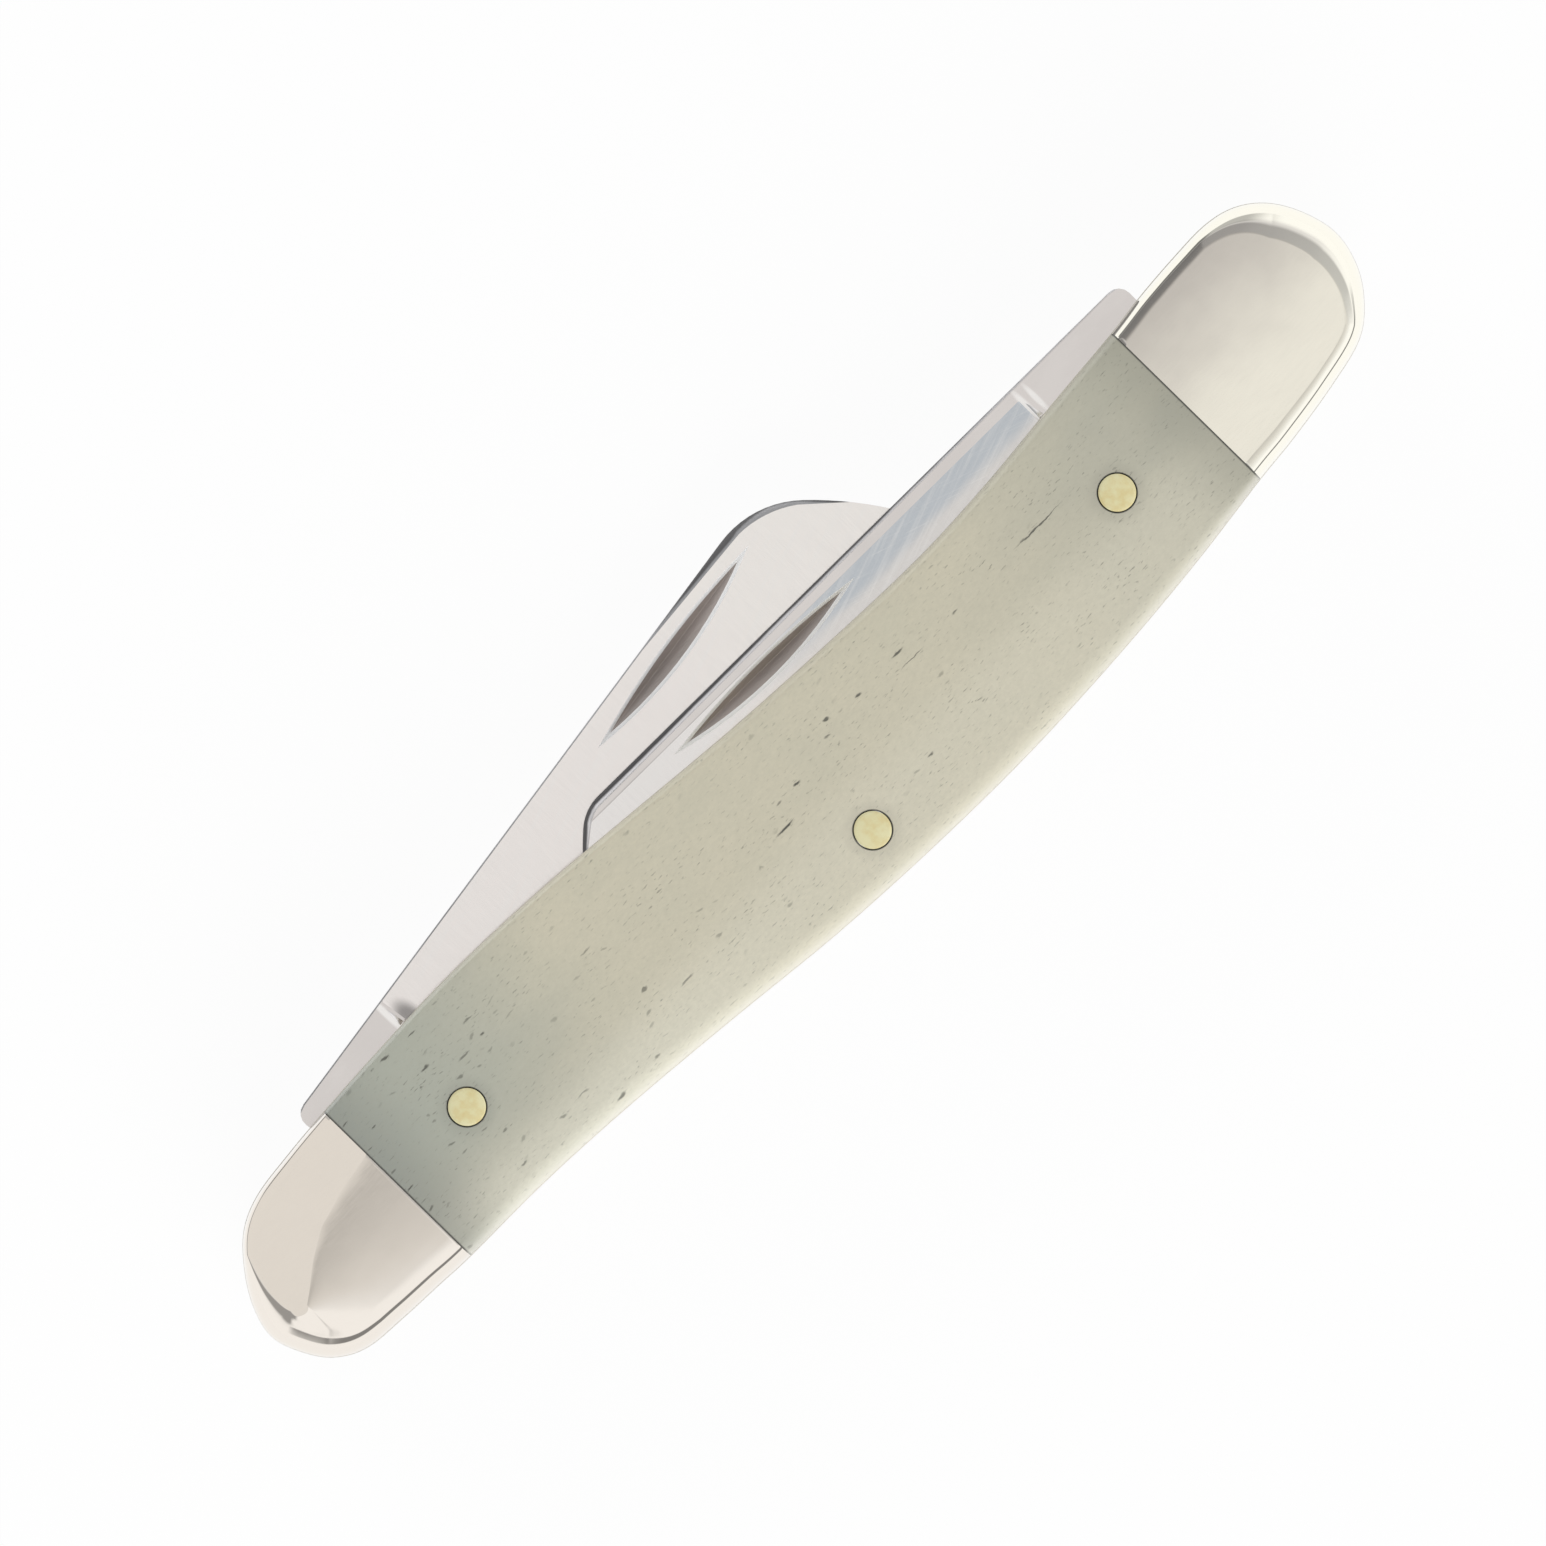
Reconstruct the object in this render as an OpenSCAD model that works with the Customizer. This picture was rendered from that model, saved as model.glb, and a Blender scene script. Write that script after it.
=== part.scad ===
// Folding pocket knife with two blades that pivot at opposite ends.
// It lies on its rear side: X runs along the handle towards the head end, +Y is the side the blades
// fold out of, and Z rises from the rear side to the front side. The origin is on the rear face,
// halfway between the bolster joints.

/* [Handle] */
// Length of each scale, from bolster joint to bolster joint
scale_len = 67; // [60:0.5:75]
// Width that the handle outline is drawn to
handle_w = 15.7; // [14.6:0.1:17]
// Length of the bolsters at the head end
head_bolster_len = 13.9; // [13.2:0.1:15.5]
// Length of the bolsters at the tail end
tail_bolster_len = 12; // [11.4:0.1:13.5]
// Thickness of each scale and each bolster
cover_t = 3; // [2.2:0.1:4]
// Thickness of each of the three liners
liner_t = 0.5; // [0.3:0.05:0.9]
// Width of the rounding along the side where the blades fold out
front_round = 0.5; // [0.3:0.05:0.8]
// Width of the rounding along the back
back_round = 1.3; // [0.8:0.05:1.6]
// Width of the rounding round the ends
end_round = 1.9; // [1.2:0.05:2.4]
// Depth of the rounding, measured into the thickness
round_depth = 2; // [1:0.1:2.1]
// Rise of the crown, from the end of the rounding to the crest
crown_rise = 0.3; // [0.1:0.05:0.5]
// Distance that the scales and bolsters sit inside the liners' edge
cover_set = 0.1; // [0.05:0.05:0.2]

/* [Pins] */
// Diameter of the brass pins that hold the scales
scale_pin_d = 2.3; // [1.6:0.1:2.6]
// Diameter of the brass pin through both springs
centre_pin_d = 2.3; // [1.8:0.1:2.6]
// Diameter of the pivot pins
pivot_pin_d = 2.6; // [2:0.1:3.2]
// Gap round a pin that is driven into its hole
pin_fit = 0.02; // [0.01:0.01:0.04]
// Gap round a pivot pin in its blade
pivot_fit = 0.05; // [0.03:0.01:0.08]
// Distance of the head pivot from the bolster joint
head_pivot_in = 7.1; // [6.6:0.1:7.6]
// Distance of the tail pivot from the bolster joint
tail_pivot_in = 5.4; // [5:0.1:5.9]
// Height of both pivots above the handle's centre line
pivot_rise = 0.7; // [0.3:0.1:1.1]

/* [Springs] */
// Thickness of each back spring, which is the width of its blade well
spring_t = 2.3; // [1.8:0.1:3]
// Metal that each spring keeps round the centre pin
spring_web = 0.9; // [0.6:0.1:1.3]
// Gap between a tang and the spring that it rests on
spring_gap = 0.03; // [0.02:0.01:0.06]
// Depth that the springs are thinned by between the centre pin and the head end
head_side_dip = 2.2; // [1.4:0.1:2.6]
// Depth that the springs are thinned by between the centre pin and the tail end
tail_side_dip = 0.9; // [0.4:0.1:1.3]
// Distance from the bolster joint to the end block of a spring
block_in = 2.4; // [1.6:0.1:3]

/* [Blades] */
// Gap on each side between a blade and the liners
side_gap = 0.05; // [0.03:0.01:0.08]
// Distance from the pivot to the flats of a tang
tang_h = 3.3; // [3:0.1:3.6]
// Height of the rounded tang corners over the flats
tang_rise = 0.45; // [0.3:0.05:0.6]
// Distance from the pivot to the kick
kick_x = 8.2; // [7.6:0.1:9]
// Thickness left at the cutting edge
edge_t = 0.25; // [0.15:0.05:0.4]
// Radius of the grinding wheel's edge, which rounds the plunge
plunge_r = 1.2; // [1.1:0.1:2]
// Rounding of the shoulder's corner
shoulder_round = 0.9; // [0.5:0.05:1.1]
// Slope of the bevel along the nose
nose_bevel_slope = 40; // [32:1:48]

/* [Spey blade] */
// Distance from its pivot to its tip
spey_len = 52.7; // [49:0.5:57]
// Width from spine to edge
spey_w = 9; // [8.4:0.1:9.4]
// Distance from the pivot to the line of the spine
spey_spine_h = 6.7; // [6.3:0.1:7]
// Distance from the pivot to the shoulder that stops the open blade
spey_shoulder = 4.65; // [4.4:0.05:5]
// Tilt of the spine when the blade is closed
spey_tilt = 1; // [0:0.5:3]
// Distance from its pivot to the plunge of the grind
spey_plunge = 13.2; // [12.5:0.1:14]
// Width of the flat that its grind leaves along the spine
spey_flat = 0.85; // [0.6:0.05:1.1]
// Width of the bevel along its nose
spey_bevel_w = 0.45; // [0.3:0.05:0.6]
// Length over which that bevel runs out along the spine
spey_run_out = 44; // [32:1:46]

/* [Sheepsfoot blade] */
// Distance from its pivot to its tip
sheepsfoot_len = 56.9; // [52:0.1:60]
// Width from spine to edge
sheepsfoot_w = 9.4; // [8.6:0.1:9.8]
// Distance from the pivot to the line of the spine
sheepsfoot_spine_h = 6.55; // [6.2:0.05:6.9]
// Distance from the pivot to the shoulder that stops the open blade
sheepsfoot_shoulder = 4.75; // [4.5:0.05:5.1]
// Tilt of the spine when the blade is closed
sheepsfoot_tilt = 7.8; // [6:0.2:9]
// Distance from its pivot to the plunge of the grind
sheepsfoot_plunge = 12.7; // [12.2:0.1:13.5]
// Width of the flat that its grind leaves along the spine
sheepsfoot_flat = 0.1; // [0.1:0.05:0.6]
// Width of the bevel along its nose
sheepsfoot_bevel_w = 0.55; // [0.4:0.05:0.8]
// Length over which that bevel runs out along the spine
sheepsfoot_run_out = 9; // [7:1:40]

/* [Nail nicks] */
// Length of each nail nick
nick_len = 14; // [11:0.5:16]
// Greatest depth of each nail nick
nick_depth = 0.6; // [0.4:0.05:0.8]
// Width of a nick above its deepest line
nick_upper_w = 0.42; // [0.3:0.02:0.55]
// Width of a nick below its deepest line
nick_lower_w = 1; // [0.7:0.05:1.3]
// Distance from the spine to a nick's deepest line
nick_drop = 1.5; // [1.3:0.1:1.9]

/* [Hidden] */
$fn = 64;

// Points that a spline puts between two stations, rings in a rounding, and steps in an arc
spline_steps = 5;
round_rings = 6;
crown_rings = 3;
arc_steps = 4;
nose_steps = 10;
spring_steps = 8;
// Overrun of every cut and zone past what it cuts
over = handle_w;

// Outline stations. Along the scale: shares of its length and of the handle's width.
front_edge_shares = [
    [-0.5, 0.430], [-0.42, 0.446], [-0.33, 0.4535], [-0.225, 0.4345], [-0.12, 0.392], [0, 0.341],
    [0.12, 0.306], [0.235, 0.286], [0.33, 0.301], [0.42, 0.334]
];
back_edge_shares = [
    [0.5, -0.446], [0.405, -0.494], [0.3, -0.529], [0.18, -0.548], [0.06, -0.538], [-0.06, -0.506],
    [-0.18, -0.449], [-0.3, -0.398], [-0.405, -0.370]
];
// Round the head end: shares of the bolster's length and of the handle's width.
head_end_shares = [
    [0, 0.360], [0.2, 0.381], [0.42, 0.394], [0.62, 0.396], [0.765, 0.363], [0.88, 0.285],
    [0.96, 0.165], [1, 0.019], [0.968, -0.121], [0.882, -0.242], [0.74, -0.341], [0.5, -0.392],
    [0.22, -0.428]
];
// Round the tail end, the same way.
tail_end_shares = [
    [0, -0.366], [0.22, -0.357], [0.45, -0.348], [0.7, -0.328], [0.86, -0.258], [0.96, -0.140],
    [1, -0.026], [0.955, 0.100], [0.855, 0.222], [0.715, 0.330], [0.54, 0.388], [0.29, 0.413]
];

function section(shares, from, dir, length) =
    [for (s = shares) [from + dir * s.x * length, s.y * handle_w]];
front_edge = section(front_edge_shares, 0, 1, scale_len);
head_end = section(head_end_shares, scale_len / 2, 1, head_bolster_len);
back_edge = section([for (i = [1:len(back_edge_shares) - 1]) back_edge_shares[i]], 0, 1, scale_len);
head_foot = section([back_edge_shares[0]], 0, 1, scale_len);
tail_end = section(tail_end_shares, -scale_len / 2, -1, tail_bolster_len);
stations = concat(front_edge, head_end, head_foot, back_edge, tail_end);

// A spline through all the stations, closed on itself
function between(a, b, c, d, t) =
    b + (c - a) * t / 2 + (2 * a - 5 * b + 4 * c - d) * t * t / 2
    + (3 * b - a - 3 * c + d) * t * t * t / 2;
function around(points, i) = points[(i + len(points)) % len(points)];
outline = [
    for (i = [0:len(stations) - 1]) for (k = [0:spline_steps - 1])
        between(around(stations, i - 1), stations[i], around(stations, i + 1), around(stations, i + 2),
            k / spline_steps)
];

// Where each stretch of the outline starts
head_start = len(front_edge) * spline_steps;
back_start = head_start + len(head_end) * spline_steps;
tail_start = back_start + (1 + len(back_edge)) * spline_steps;
outline_end = len(outline);

// Levels of the stack, from the rear face up
rear_liner_z = cover_t;
rear_well_z = rear_liner_z + liner_t;
centre_liner_z = rear_well_z + spring_t;
front_well_z = centre_liner_z + liner_t;
front_liner_z = front_well_z + spring_t;
front_cover_z = front_liner_z + liner_t;
knife_t = front_cover_z + cover_t;
blade_t = spring_t - 2 * side_gap;

// Axes of the pins
head_pivot = [scale_len / 2 + head_pivot_in, pivot_rise];
tail_pivot = [-scale_len / 2 - tail_pivot_in, pivot_rise];
centre_pin_shares = [0.0285, -0.322];
centre_pin_at = [centre_pin_shares.x * scale_len, centre_pin_shares.y * handle_w];
head_scale_pin_shares = [0.4, -0.086];
head_scale_pin_at = [head_scale_pin_shares.x * scale_len, head_scale_pin_shares.y * handle_w];
tail_scale_pin_shares = [-0.406, 0.048];
tail_scale_pin_at = [tail_scale_pin_shares.x * scale_len, tail_scale_pin_shares.y * handle_w];

function turned(p, a) = [p.x * cos(a) - p.y * sin(a), p.x * sin(a) + p.y * cos(a)];
function arc(centre, r, from, to, steps) =
    [for (i = [0:steps]) let (a = from + (to - from) * i / steps) centre + r * [cos(a), sin(a)]];

// A solid through rings of points, each ring clockwise as seen from above, lowest ring first
module loft(rings) {
    n = len(rings[0]);
    last = len(rings) - 1;
    faces = concat(
        [for (r = [0:last - 1]) for (j = [0:n - 1])
            [r * n + j, r * n + (j + 1) % n, (r + 1) * n + (j + 1) % n]],
        [for (r = [0:last - 1]) for (j = [0:n - 1])
            [r * n + j, (r + 1) * n + (j + 1) % n, (r + 1) * n + j]],
        [[for (j = [n - 1:-1:0]) j], [for (j = [0:n - 1]) last * n + j]]
    );
    polyhedron([for (ring = rings) each ring], faces, 10);
}

// Width of the rounding at a point of the outline
function blend_round(a, b, share) =
    let (straight = a + (b - a) * share) straight + (end_round - straight) * pow(sin(180 * share), 2);
function round_at(i) =
    i < head_start ? front_round
    : i < back_start ? blend_round(front_round, back_round, (i - head_start) / (back_start - head_start))
    : i <= tail_start ? back_round
    : blend_round(back_round, front_round, (i - tail_start) / (outline_end - tail_start));

// Direction from a point of the outline into the handle
function inward(i) =
    let (along = around(outline, i + 1) - around(outline, i - 1)) [along.y, -along.x] / norm(along);

// A point of the outline drawn in by a share of its rounding. At a joint it slides along the joint.
function drawn_in(i, share, joint) =
    let (p = around(outline, i), d = cover_set + round_at(i) * share, into = inward(i))
    joint ? [p.x, p.y + sign(into.y) * d] : p + into * d;

// The line along the middle of the handle that the crown rises to, from pivot to pivot
front_table = [for (p = outline) if (p.y > 0) p];
back_table = [for (p = outline) if (p.y <= 0) p];
function mid_line(x) =
    let (along = max(tail_pivot.x, min(head_pivot.x, x)))
        [along, (lookup(along, front_table) + lookup(along, back_table)) / 2];

// Part of the quarter turn that the rounding makes before the crown takes over, and the part of the
// way to the middle line that the crown covers
round_turn_share = 0.87;
crown_share = 0.6;

// A ring round the given runs of the outline: in by a share of the rounding, then by one of the crown
function cover_ring(runs, share, crown, z) = [
    for (run = runs) for (i = [run[0]:run[1]])
        let (p = drawn_in(i, share, i == run[0] || i == run[1]), q = p + (mid_line(p.x) - p) * crown)
            [q.x, q.y, z]
];

// One scale or bolster, over the given runs of the outline, with its inner face at zero
module cover(runs) {
    turn = 90 * round_turn_share;
    wall = cover_t - round_depth * sin(turn) - crown_rise;
    loft(concat(
        [cover_ring(runs, 0, 0, 0)],
        [for (k = [0:round_rings])
            let (a = turn * k / round_rings) cover_ring(runs, 1 - cos(a), 0, wall + round_depth * sin(a))],
        [for (k = [1:crown_rings])
            let (t = k / crown_rings) cover_ring(runs, 1 - cos(turn), crown_share * t,
                cover_t - crown_rise * pow(1 - t, 2))]
    ));
}

module pin_hole(at, d, from, to) {
    translate([at.x, at.y, from - over])
        cylinder(d = d, h = to - from + 2 * over);
}

module pin(at, d, from, to) {
    translate([at.x, at.y, from])
        cylinder(d = d, h = to - from);
}

// A drilled cover, on the front or turned over onto the rear
module placed_cover(runs, front, holes) {
    difference() {
        translate([0, 0, front ? front_cover_z : cover_t])
            mirror([0, 0, front ? 0 : 1])
                cover(runs);
        for (hole = holes)
            pin_hole(hole[0], hole[1] + 2 * pin_fit, 0, knife_t);
    }
}

scale_runs = [[0, head_start], [back_start, tail_start]];
head_runs = [[head_start, back_start]];
tail_runs = [[tail_start, outline_end]];
scale_holes = [
    [head_scale_pin_at, scale_pin_d],
    [tail_scale_pin_at, scale_pin_d],
    [centre_pin_at, centre_pin_d]
];
head_holes = [[head_pivot, pivot_pin_d]];
tail_holes = [[tail_pivot, pivot_pin_d]];

module scale_plate(front) {
    color("antiquewhite") placed_cover(scale_runs, front, scale_holes);
}

module bolster(runs, front, holes) {
    color("silver") placed_cover(runs, front, holes);
}

module handle_prism(from, t) {
    translate([0, 0, from])
        linear_extrude(t)
            polygon(outline);
}

// Liners: the outer two carry the scale pins, and the centre one only parts the wells
module liner(from, holes) {
    color("lightgray") difference() {
        handle_prism(from, liner_t);
        for (hole = concat(holes, head_holes, tail_holes))
            pin_hole(hole[0], hole[1] + 2 * pin_fit, from, from + liner_t);
    }
}

// Inner line of a back spring, dipping between two points
function dipped(from, to, dip) =
    [for (i = [0:spring_steps])
        from + (to - from) * i / spring_steps - [0, dip * sin(180 * i / spring_steps)]];

// A back spring, in its well from height z. Its working end passes under the tang and stops short of
// the blade's shoulder. It is thickest round the centre pin, and its other end fills the far bolster.
// dir is 1 where the working end lies towards the head.
module spring(pivot, shoulder, far_joint, dir, dips, z, far_hole) {
    flat_y = pivot.y - tang_h - spring_gap;
    pin_y = centre_pin_at.y + centre_pin_d / 2 + spring_web;
    end_x = pivot.x + dir * (shoulder - spring_gap);
    block_x = far_joint - dir * block_in;
    line = concat(
        [[end_x, flat_y]],
        dipped([pivot.x - dir * (kick_x + tang_rise + block_in), flat_y],
            [centre_pin_at.x + dir * centre_pin_d, pin_y], dips[0]),
        dipped([centre_pin_at.x - dir * centre_pin_d, pin_y],
            [block_x + dir * tang_h, flat_y], dips[1]),
        arc([block_x + dir * tang_h, flat_y + tang_h], tang_h, 270, 270 - dir * 90, arc_steps)
    );
    color("gainsboro") difference() {
        intersection() {
            handle_prism(z, spring_t);
            translate([0, 0, z - over])
                linear_extrude(spring_t + 2 * over)
                    polygon(concat(line, [
                        [block_x, over], [-dir * scale_len, over], [-dir * scale_len, -over], [end_x, -over]
                    ]));
        }
        for (hole = [far_hole, [centre_pin_at, centre_pin_d]])
            pin_hole(hole[0], hole[1] + 2 * pin_fit, z, z + spring_t);
    }
}

// Tang, clockwise from the flat that the closed blade rests on, round the end, to the shoulder
function tang_outline(tilt, shoulder, spine_h) =
    let (
        r = tang_h + tang_rise,
        corner = acos(tang_h / r)
    )
    concat(
        arc([0, 0], r, 270 - corner, 180 + corner, arc_steps),
        arc([0, 0], r, 180 - corner, 90 + corner + tilt, arc_steps),
        [turned([shoulder, tang_h], tilt)],
        let (corner_at = [shoulder + shoulder_round, spine_h - shoulder_round])
            [for (p = arc(corner_at, shoulder_round, 180, 90, arc_steps)) turned(p, tilt)]
    );

// Underside of the ricasso, from the heel of the edge back to the tang: choil, kick and relief
kick_relief_share = 0.15;
choil_shares = [[0, 0], [0.25, 0.06], [0.6, 0.3], [0.85, 0.7], [1, 1]];
function heel_outline(tilt, edge_y, plunge) =
    let (
        heel = turned([plunge, edge_y], tilt),
        kick_w = tang_rise * 2,
        relief_y = -tang_h * (1 - kick_relief_share),
        rise = heel.y + tang_h,
        run = heel.x - kick_x - kick_w
    )
    concat(
        [for (s = choil_shares) [heel.x - run * s.x, heel.y - rise * s.y]],
        [
            [kick_x - kick_w, -tang_h],
            [kick_x - kick_w - tang_rise, relief_y],
            [tang_h + 2 * tang_rise, relief_y],
            [tang_h + tang_rise, -tang_h]
        ]
    );

// A nose is a chain of arcs from the spine round to the edge. Each row is the arc's radius, as a
// share of the blade's width, and the angle that it turns. The last arc takes the height that is left.
spey_nose_shares = [[0.33, 42], [2.2, 7], [0, 68], [0, 63]];
sheepsfoot_nose_shares = [[0.68, 52], [0, 20]];

// Arcs as [centre, radius, first heading, turn], with headings turning down from the way to the tip
function arc_end(a) = a[0] + a[1] * [sin(a[2] + a[3]), cos(a[2] + a[3])];
function nose_arcs(shares, width, at, heading = 0, i = 0) =
    let (
        turn = shares[i][1],
        last = i == len(shares) - 1,
        r = last ? (at.y + width) / (cos(heading) - cos(heading + turn)) : shares[i][0] * width,
        this = [at - r * [sin(heading), cos(heading)], r, heading, turn]
    )
    last ? [this] : concat([this], nose_arcs(shares, width, arc_end(this), heading + turn, i + 1));
function nose_tip(arcs) = max([for (a = arcs) arc_end(a).x]);
function nose_outline(arcs) =
    [for (a = arcs) each a[1] == 0 ? [] : arc(a[0], a[1], 90 - a[2], 90 - a[2] - a[3], nose_steps)];

// Cut of the bevel round the first arc of a nose, on the front face
module arc_bevel(a, w) {
    d = w * tan(nose_bevel_slope);
    translate([a[0].x, a[0].y, blade_t / 2])
        rotate([0, 0, 90 - a[2] - a[3]])
            rotate_extrude(angle = a[3])
                polygon([[a[1] - 2 * w, d], [a[1] + w, -2 * d], [a[1] + w, d]]);
}

// Flat cut of the bevel past a point of the outline, a little wider so that it crosses the arc's cut
bevel_lead = 0.03;
module flat_bevel(at, w, heading, reach) {
    translate([at.x, at.y, blade_t / 2])
        rotate([0, 0, -heading])
            translate([0, -w - bevel_lead, 0])
                rotate([-nose_bevel_slope, 0, 0])
                    translate([-reach, -bevel_lead, 0])
                        cube([2 * reach, over, over]);
}

// The whole bevel: its run-out along the spine, the first arc, and a flat along the second. That flat
// heads the way that the second arc has after this share of its turn.
flat_turn_share = 0.2;
module nose_bevel(arcs, w, run_out) {
    flat_bevel([0, 0], w, atan(w / run_out), run_out + w);
    arc_bevel(arcs[0], w);
    flat_bevel(arc_end(arcs[0]), w, arcs[1][2] + arcs[1][3] * flat_turn_share, over);
}

// Slope of a flat grind, from the flat along the spine down to the edge
function grind_fall(width, flat) = atan((blade_t - edge_t) / 2 / (width - flat));

// Bulk that a flat grind takes off the front face, in the frame of the spine. The wheel's rounded
// edge leaves a curved plunge, and plunge_share of its radius lies past the plunge.
plunge_share = 0.8;
module grind(length, width, spine_h, flat, plunge) {
    translate([plunge + plunge_share * plunge_r, spine_h - flat, blade_t / 2])
        rotate([grind_fall(width, flat), 0, 0]) {
            translate([0, -over, 0])
                cube([length, over, over]);
            translate([0, 0, plunge_r])
                rotate([90, 0, 0])
                    cylinder(r = plunge_r, h = over);
        }
}

// A nail nick, cut by a wheel with a bevelled rim that dips into the front face
module nick(at_x, width, spine_h, flat) {
    nick_y = spine_h - nick_drop;
    face_z = blade_t / 2 - (nick_drop - flat) * tan(grind_fall(width, flat));
    wheel_r = nick_len * nick_len / 8 / nick_depth;
    upper_h = 2 * nick_upper_w;
    lower_h = 2 * nick_lower_w;
    translate([at_x, nick_y, face_z + wheel_r - nick_depth]) {
        rotate([-90, 0, 0])
            cylinder(r1 = wheel_r, r2 = wheel_r - upper_h * nick_depth / nick_upper_w, h = upper_h);
        rotate([90, 0, 0])
            cylinder(r1 = wheel_r, r2 = wheel_r - lower_h * nick_depth / nick_lower_w, h = lower_h);
    }
}

// A blade, pivot at zero and tip towards +X: nose, flat grinds, bevels, nail nick and pivot hole
module blade(length, width, spine_h, tilt, shoulder, plunge, nose_shares, flat, bevel_w, run_out,
        nick_x) {
    free_arcs = nose_arcs(nose_shares, width, [0, 0]);
    nose_x = length - nose_tip(free_arcs);
    nose = [for (p = nose_outline(free_arcs)) turned(p + [nose_x, spine_h], tilt)];
    half = blade_t / 2;
    difference() {
        translate([0, 0, -half])
            linear_extrude(blade_t)
                polygon(concat(tang_outline(tilt, shoulder, spine_h), nose,
                    heel_outline(tilt, spine_h - width, plunge)));
        rotate([0, 0, tilt]) {
            nick(nick_x, width, spine_h, flat);
            for (side = [0, 1]) mirror([0, 0, side]) {
                grind(length, width, spine_h, flat, plunge);
                translate([nose_x, spine_h, 0])
                    nose_bevel(free_arcs, bevel_w, run_out);
            }
        }
        pin_hole([0, 0], pivot_pin_d + 2 * pivot_fit, -half, half);
    }
}

spey_nick_share = 0.689;
module spey_blade() {
    color("whitesmoke")
        translate([head_pivot.x, head_pivot.y, front_well_z + spring_t / 2])
            mirror([1, 0, 0])
                blade(spey_len, spey_w, spey_spine_h, spey_tilt, spey_shoulder, spey_plunge,
                    spey_nose_shares, spey_flat, spey_bevel_w, spey_run_out,
                    spey_nick_share * spey_len);
}

sheepsfoot_nick_share = 0.727;
module sheepsfoot_blade() {
    color("whitesmoke")
        translate([tail_pivot.x, tail_pivot.y, rear_well_z + spring_t / 2])
            blade(sheepsfoot_len, sheepsfoot_w, sheepsfoot_spine_h, sheepsfoot_tilt,
                sheepsfoot_shoulder, sheepsfoot_plunge, sheepsfoot_nose_shares, sheepsfoot_flat,
                sheepsfoot_bevel_w, sheepsfoot_run_out, sheepsfoot_nick_share * sheepsfoot_len);
}

// Springs: the front one backs the spey and ends in a block on the tail pin, and the rear one is its
// opposite
module front_spring() {
    spring(head_pivot, spey_shoulder, -scale_len / 2, 1, [head_side_dip, tail_side_dip],
        front_well_z, tail_holes[0]);
}

module rear_spring() {
    spring(tail_pivot, sheepsfoot_shoulder, scale_len / 2, -1, [tail_side_dip, head_side_dip],
        rear_well_z, head_holes[0]);
}

module pivot_pin(at) {
    color("silver") pin(at, pivot_pin_d, 0, knife_t);
}

module centre_pin() {
    color("khaki") pin(centre_pin_at, centre_pin_d, 0, knife_t);
}

module scale_pin(at, front) {
    color("khaki") pin(at, scale_pin_d, front ? front_liner_z : 0, front ? knife_t : rear_well_z);
}

scale_plate(true);  // front_scale
scale_plate(false);  // rear_scale
bolster(head_runs, true, head_holes);  // front_head_bolster
bolster(tail_runs, true, tail_holes);  // front_tail_bolster
bolster(head_runs, false, head_holes);  // rear_head_bolster
bolster(tail_runs, false, tail_holes);  // rear_tail_bolster
liner(front_liner_z, scale_holes);  // front_liner
liner(centre_liner_z, [scale_holes[2]]);  // centre_liner
liner(rear_liner_z, scale_holes);  // rear_liner
front_spring();
rear_spring();
spey_blade();
sheepsfoot_blade();
pivot_pin(head_pivot);  // head_pivot_pin
pivot_pin(tail_pivot);  // tail_pivot_pin
centre_pin();
scale_pin(head_scale_pin_at, true);  // front_head_scale_pin
scale_pin(tail_scale_pin_at, true);  // front_tail_scale_pin
scale_pin(head_scale_pin_at, false);  // rear_head_scale_pin
scale_pin(tail_scale_pin_at, false);  // rear_tail_scale_pin
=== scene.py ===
import math

import bmesh
import bpy
import numpy as np
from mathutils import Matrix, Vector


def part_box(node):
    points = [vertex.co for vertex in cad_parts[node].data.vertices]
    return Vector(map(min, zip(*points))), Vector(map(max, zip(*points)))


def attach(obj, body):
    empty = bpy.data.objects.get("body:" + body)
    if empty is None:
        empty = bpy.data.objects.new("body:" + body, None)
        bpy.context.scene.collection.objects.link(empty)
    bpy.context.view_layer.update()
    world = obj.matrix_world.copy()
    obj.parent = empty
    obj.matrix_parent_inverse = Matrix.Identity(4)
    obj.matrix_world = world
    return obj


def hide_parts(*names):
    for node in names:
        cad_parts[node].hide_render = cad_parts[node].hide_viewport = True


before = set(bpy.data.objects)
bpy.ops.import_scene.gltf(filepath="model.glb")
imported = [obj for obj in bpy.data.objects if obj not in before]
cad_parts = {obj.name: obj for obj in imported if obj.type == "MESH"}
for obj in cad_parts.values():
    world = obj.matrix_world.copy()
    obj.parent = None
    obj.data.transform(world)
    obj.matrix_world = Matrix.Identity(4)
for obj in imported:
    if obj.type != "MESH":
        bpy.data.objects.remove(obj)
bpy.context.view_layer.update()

MM = 0.001

# All sizes here are in millimetres.

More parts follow.
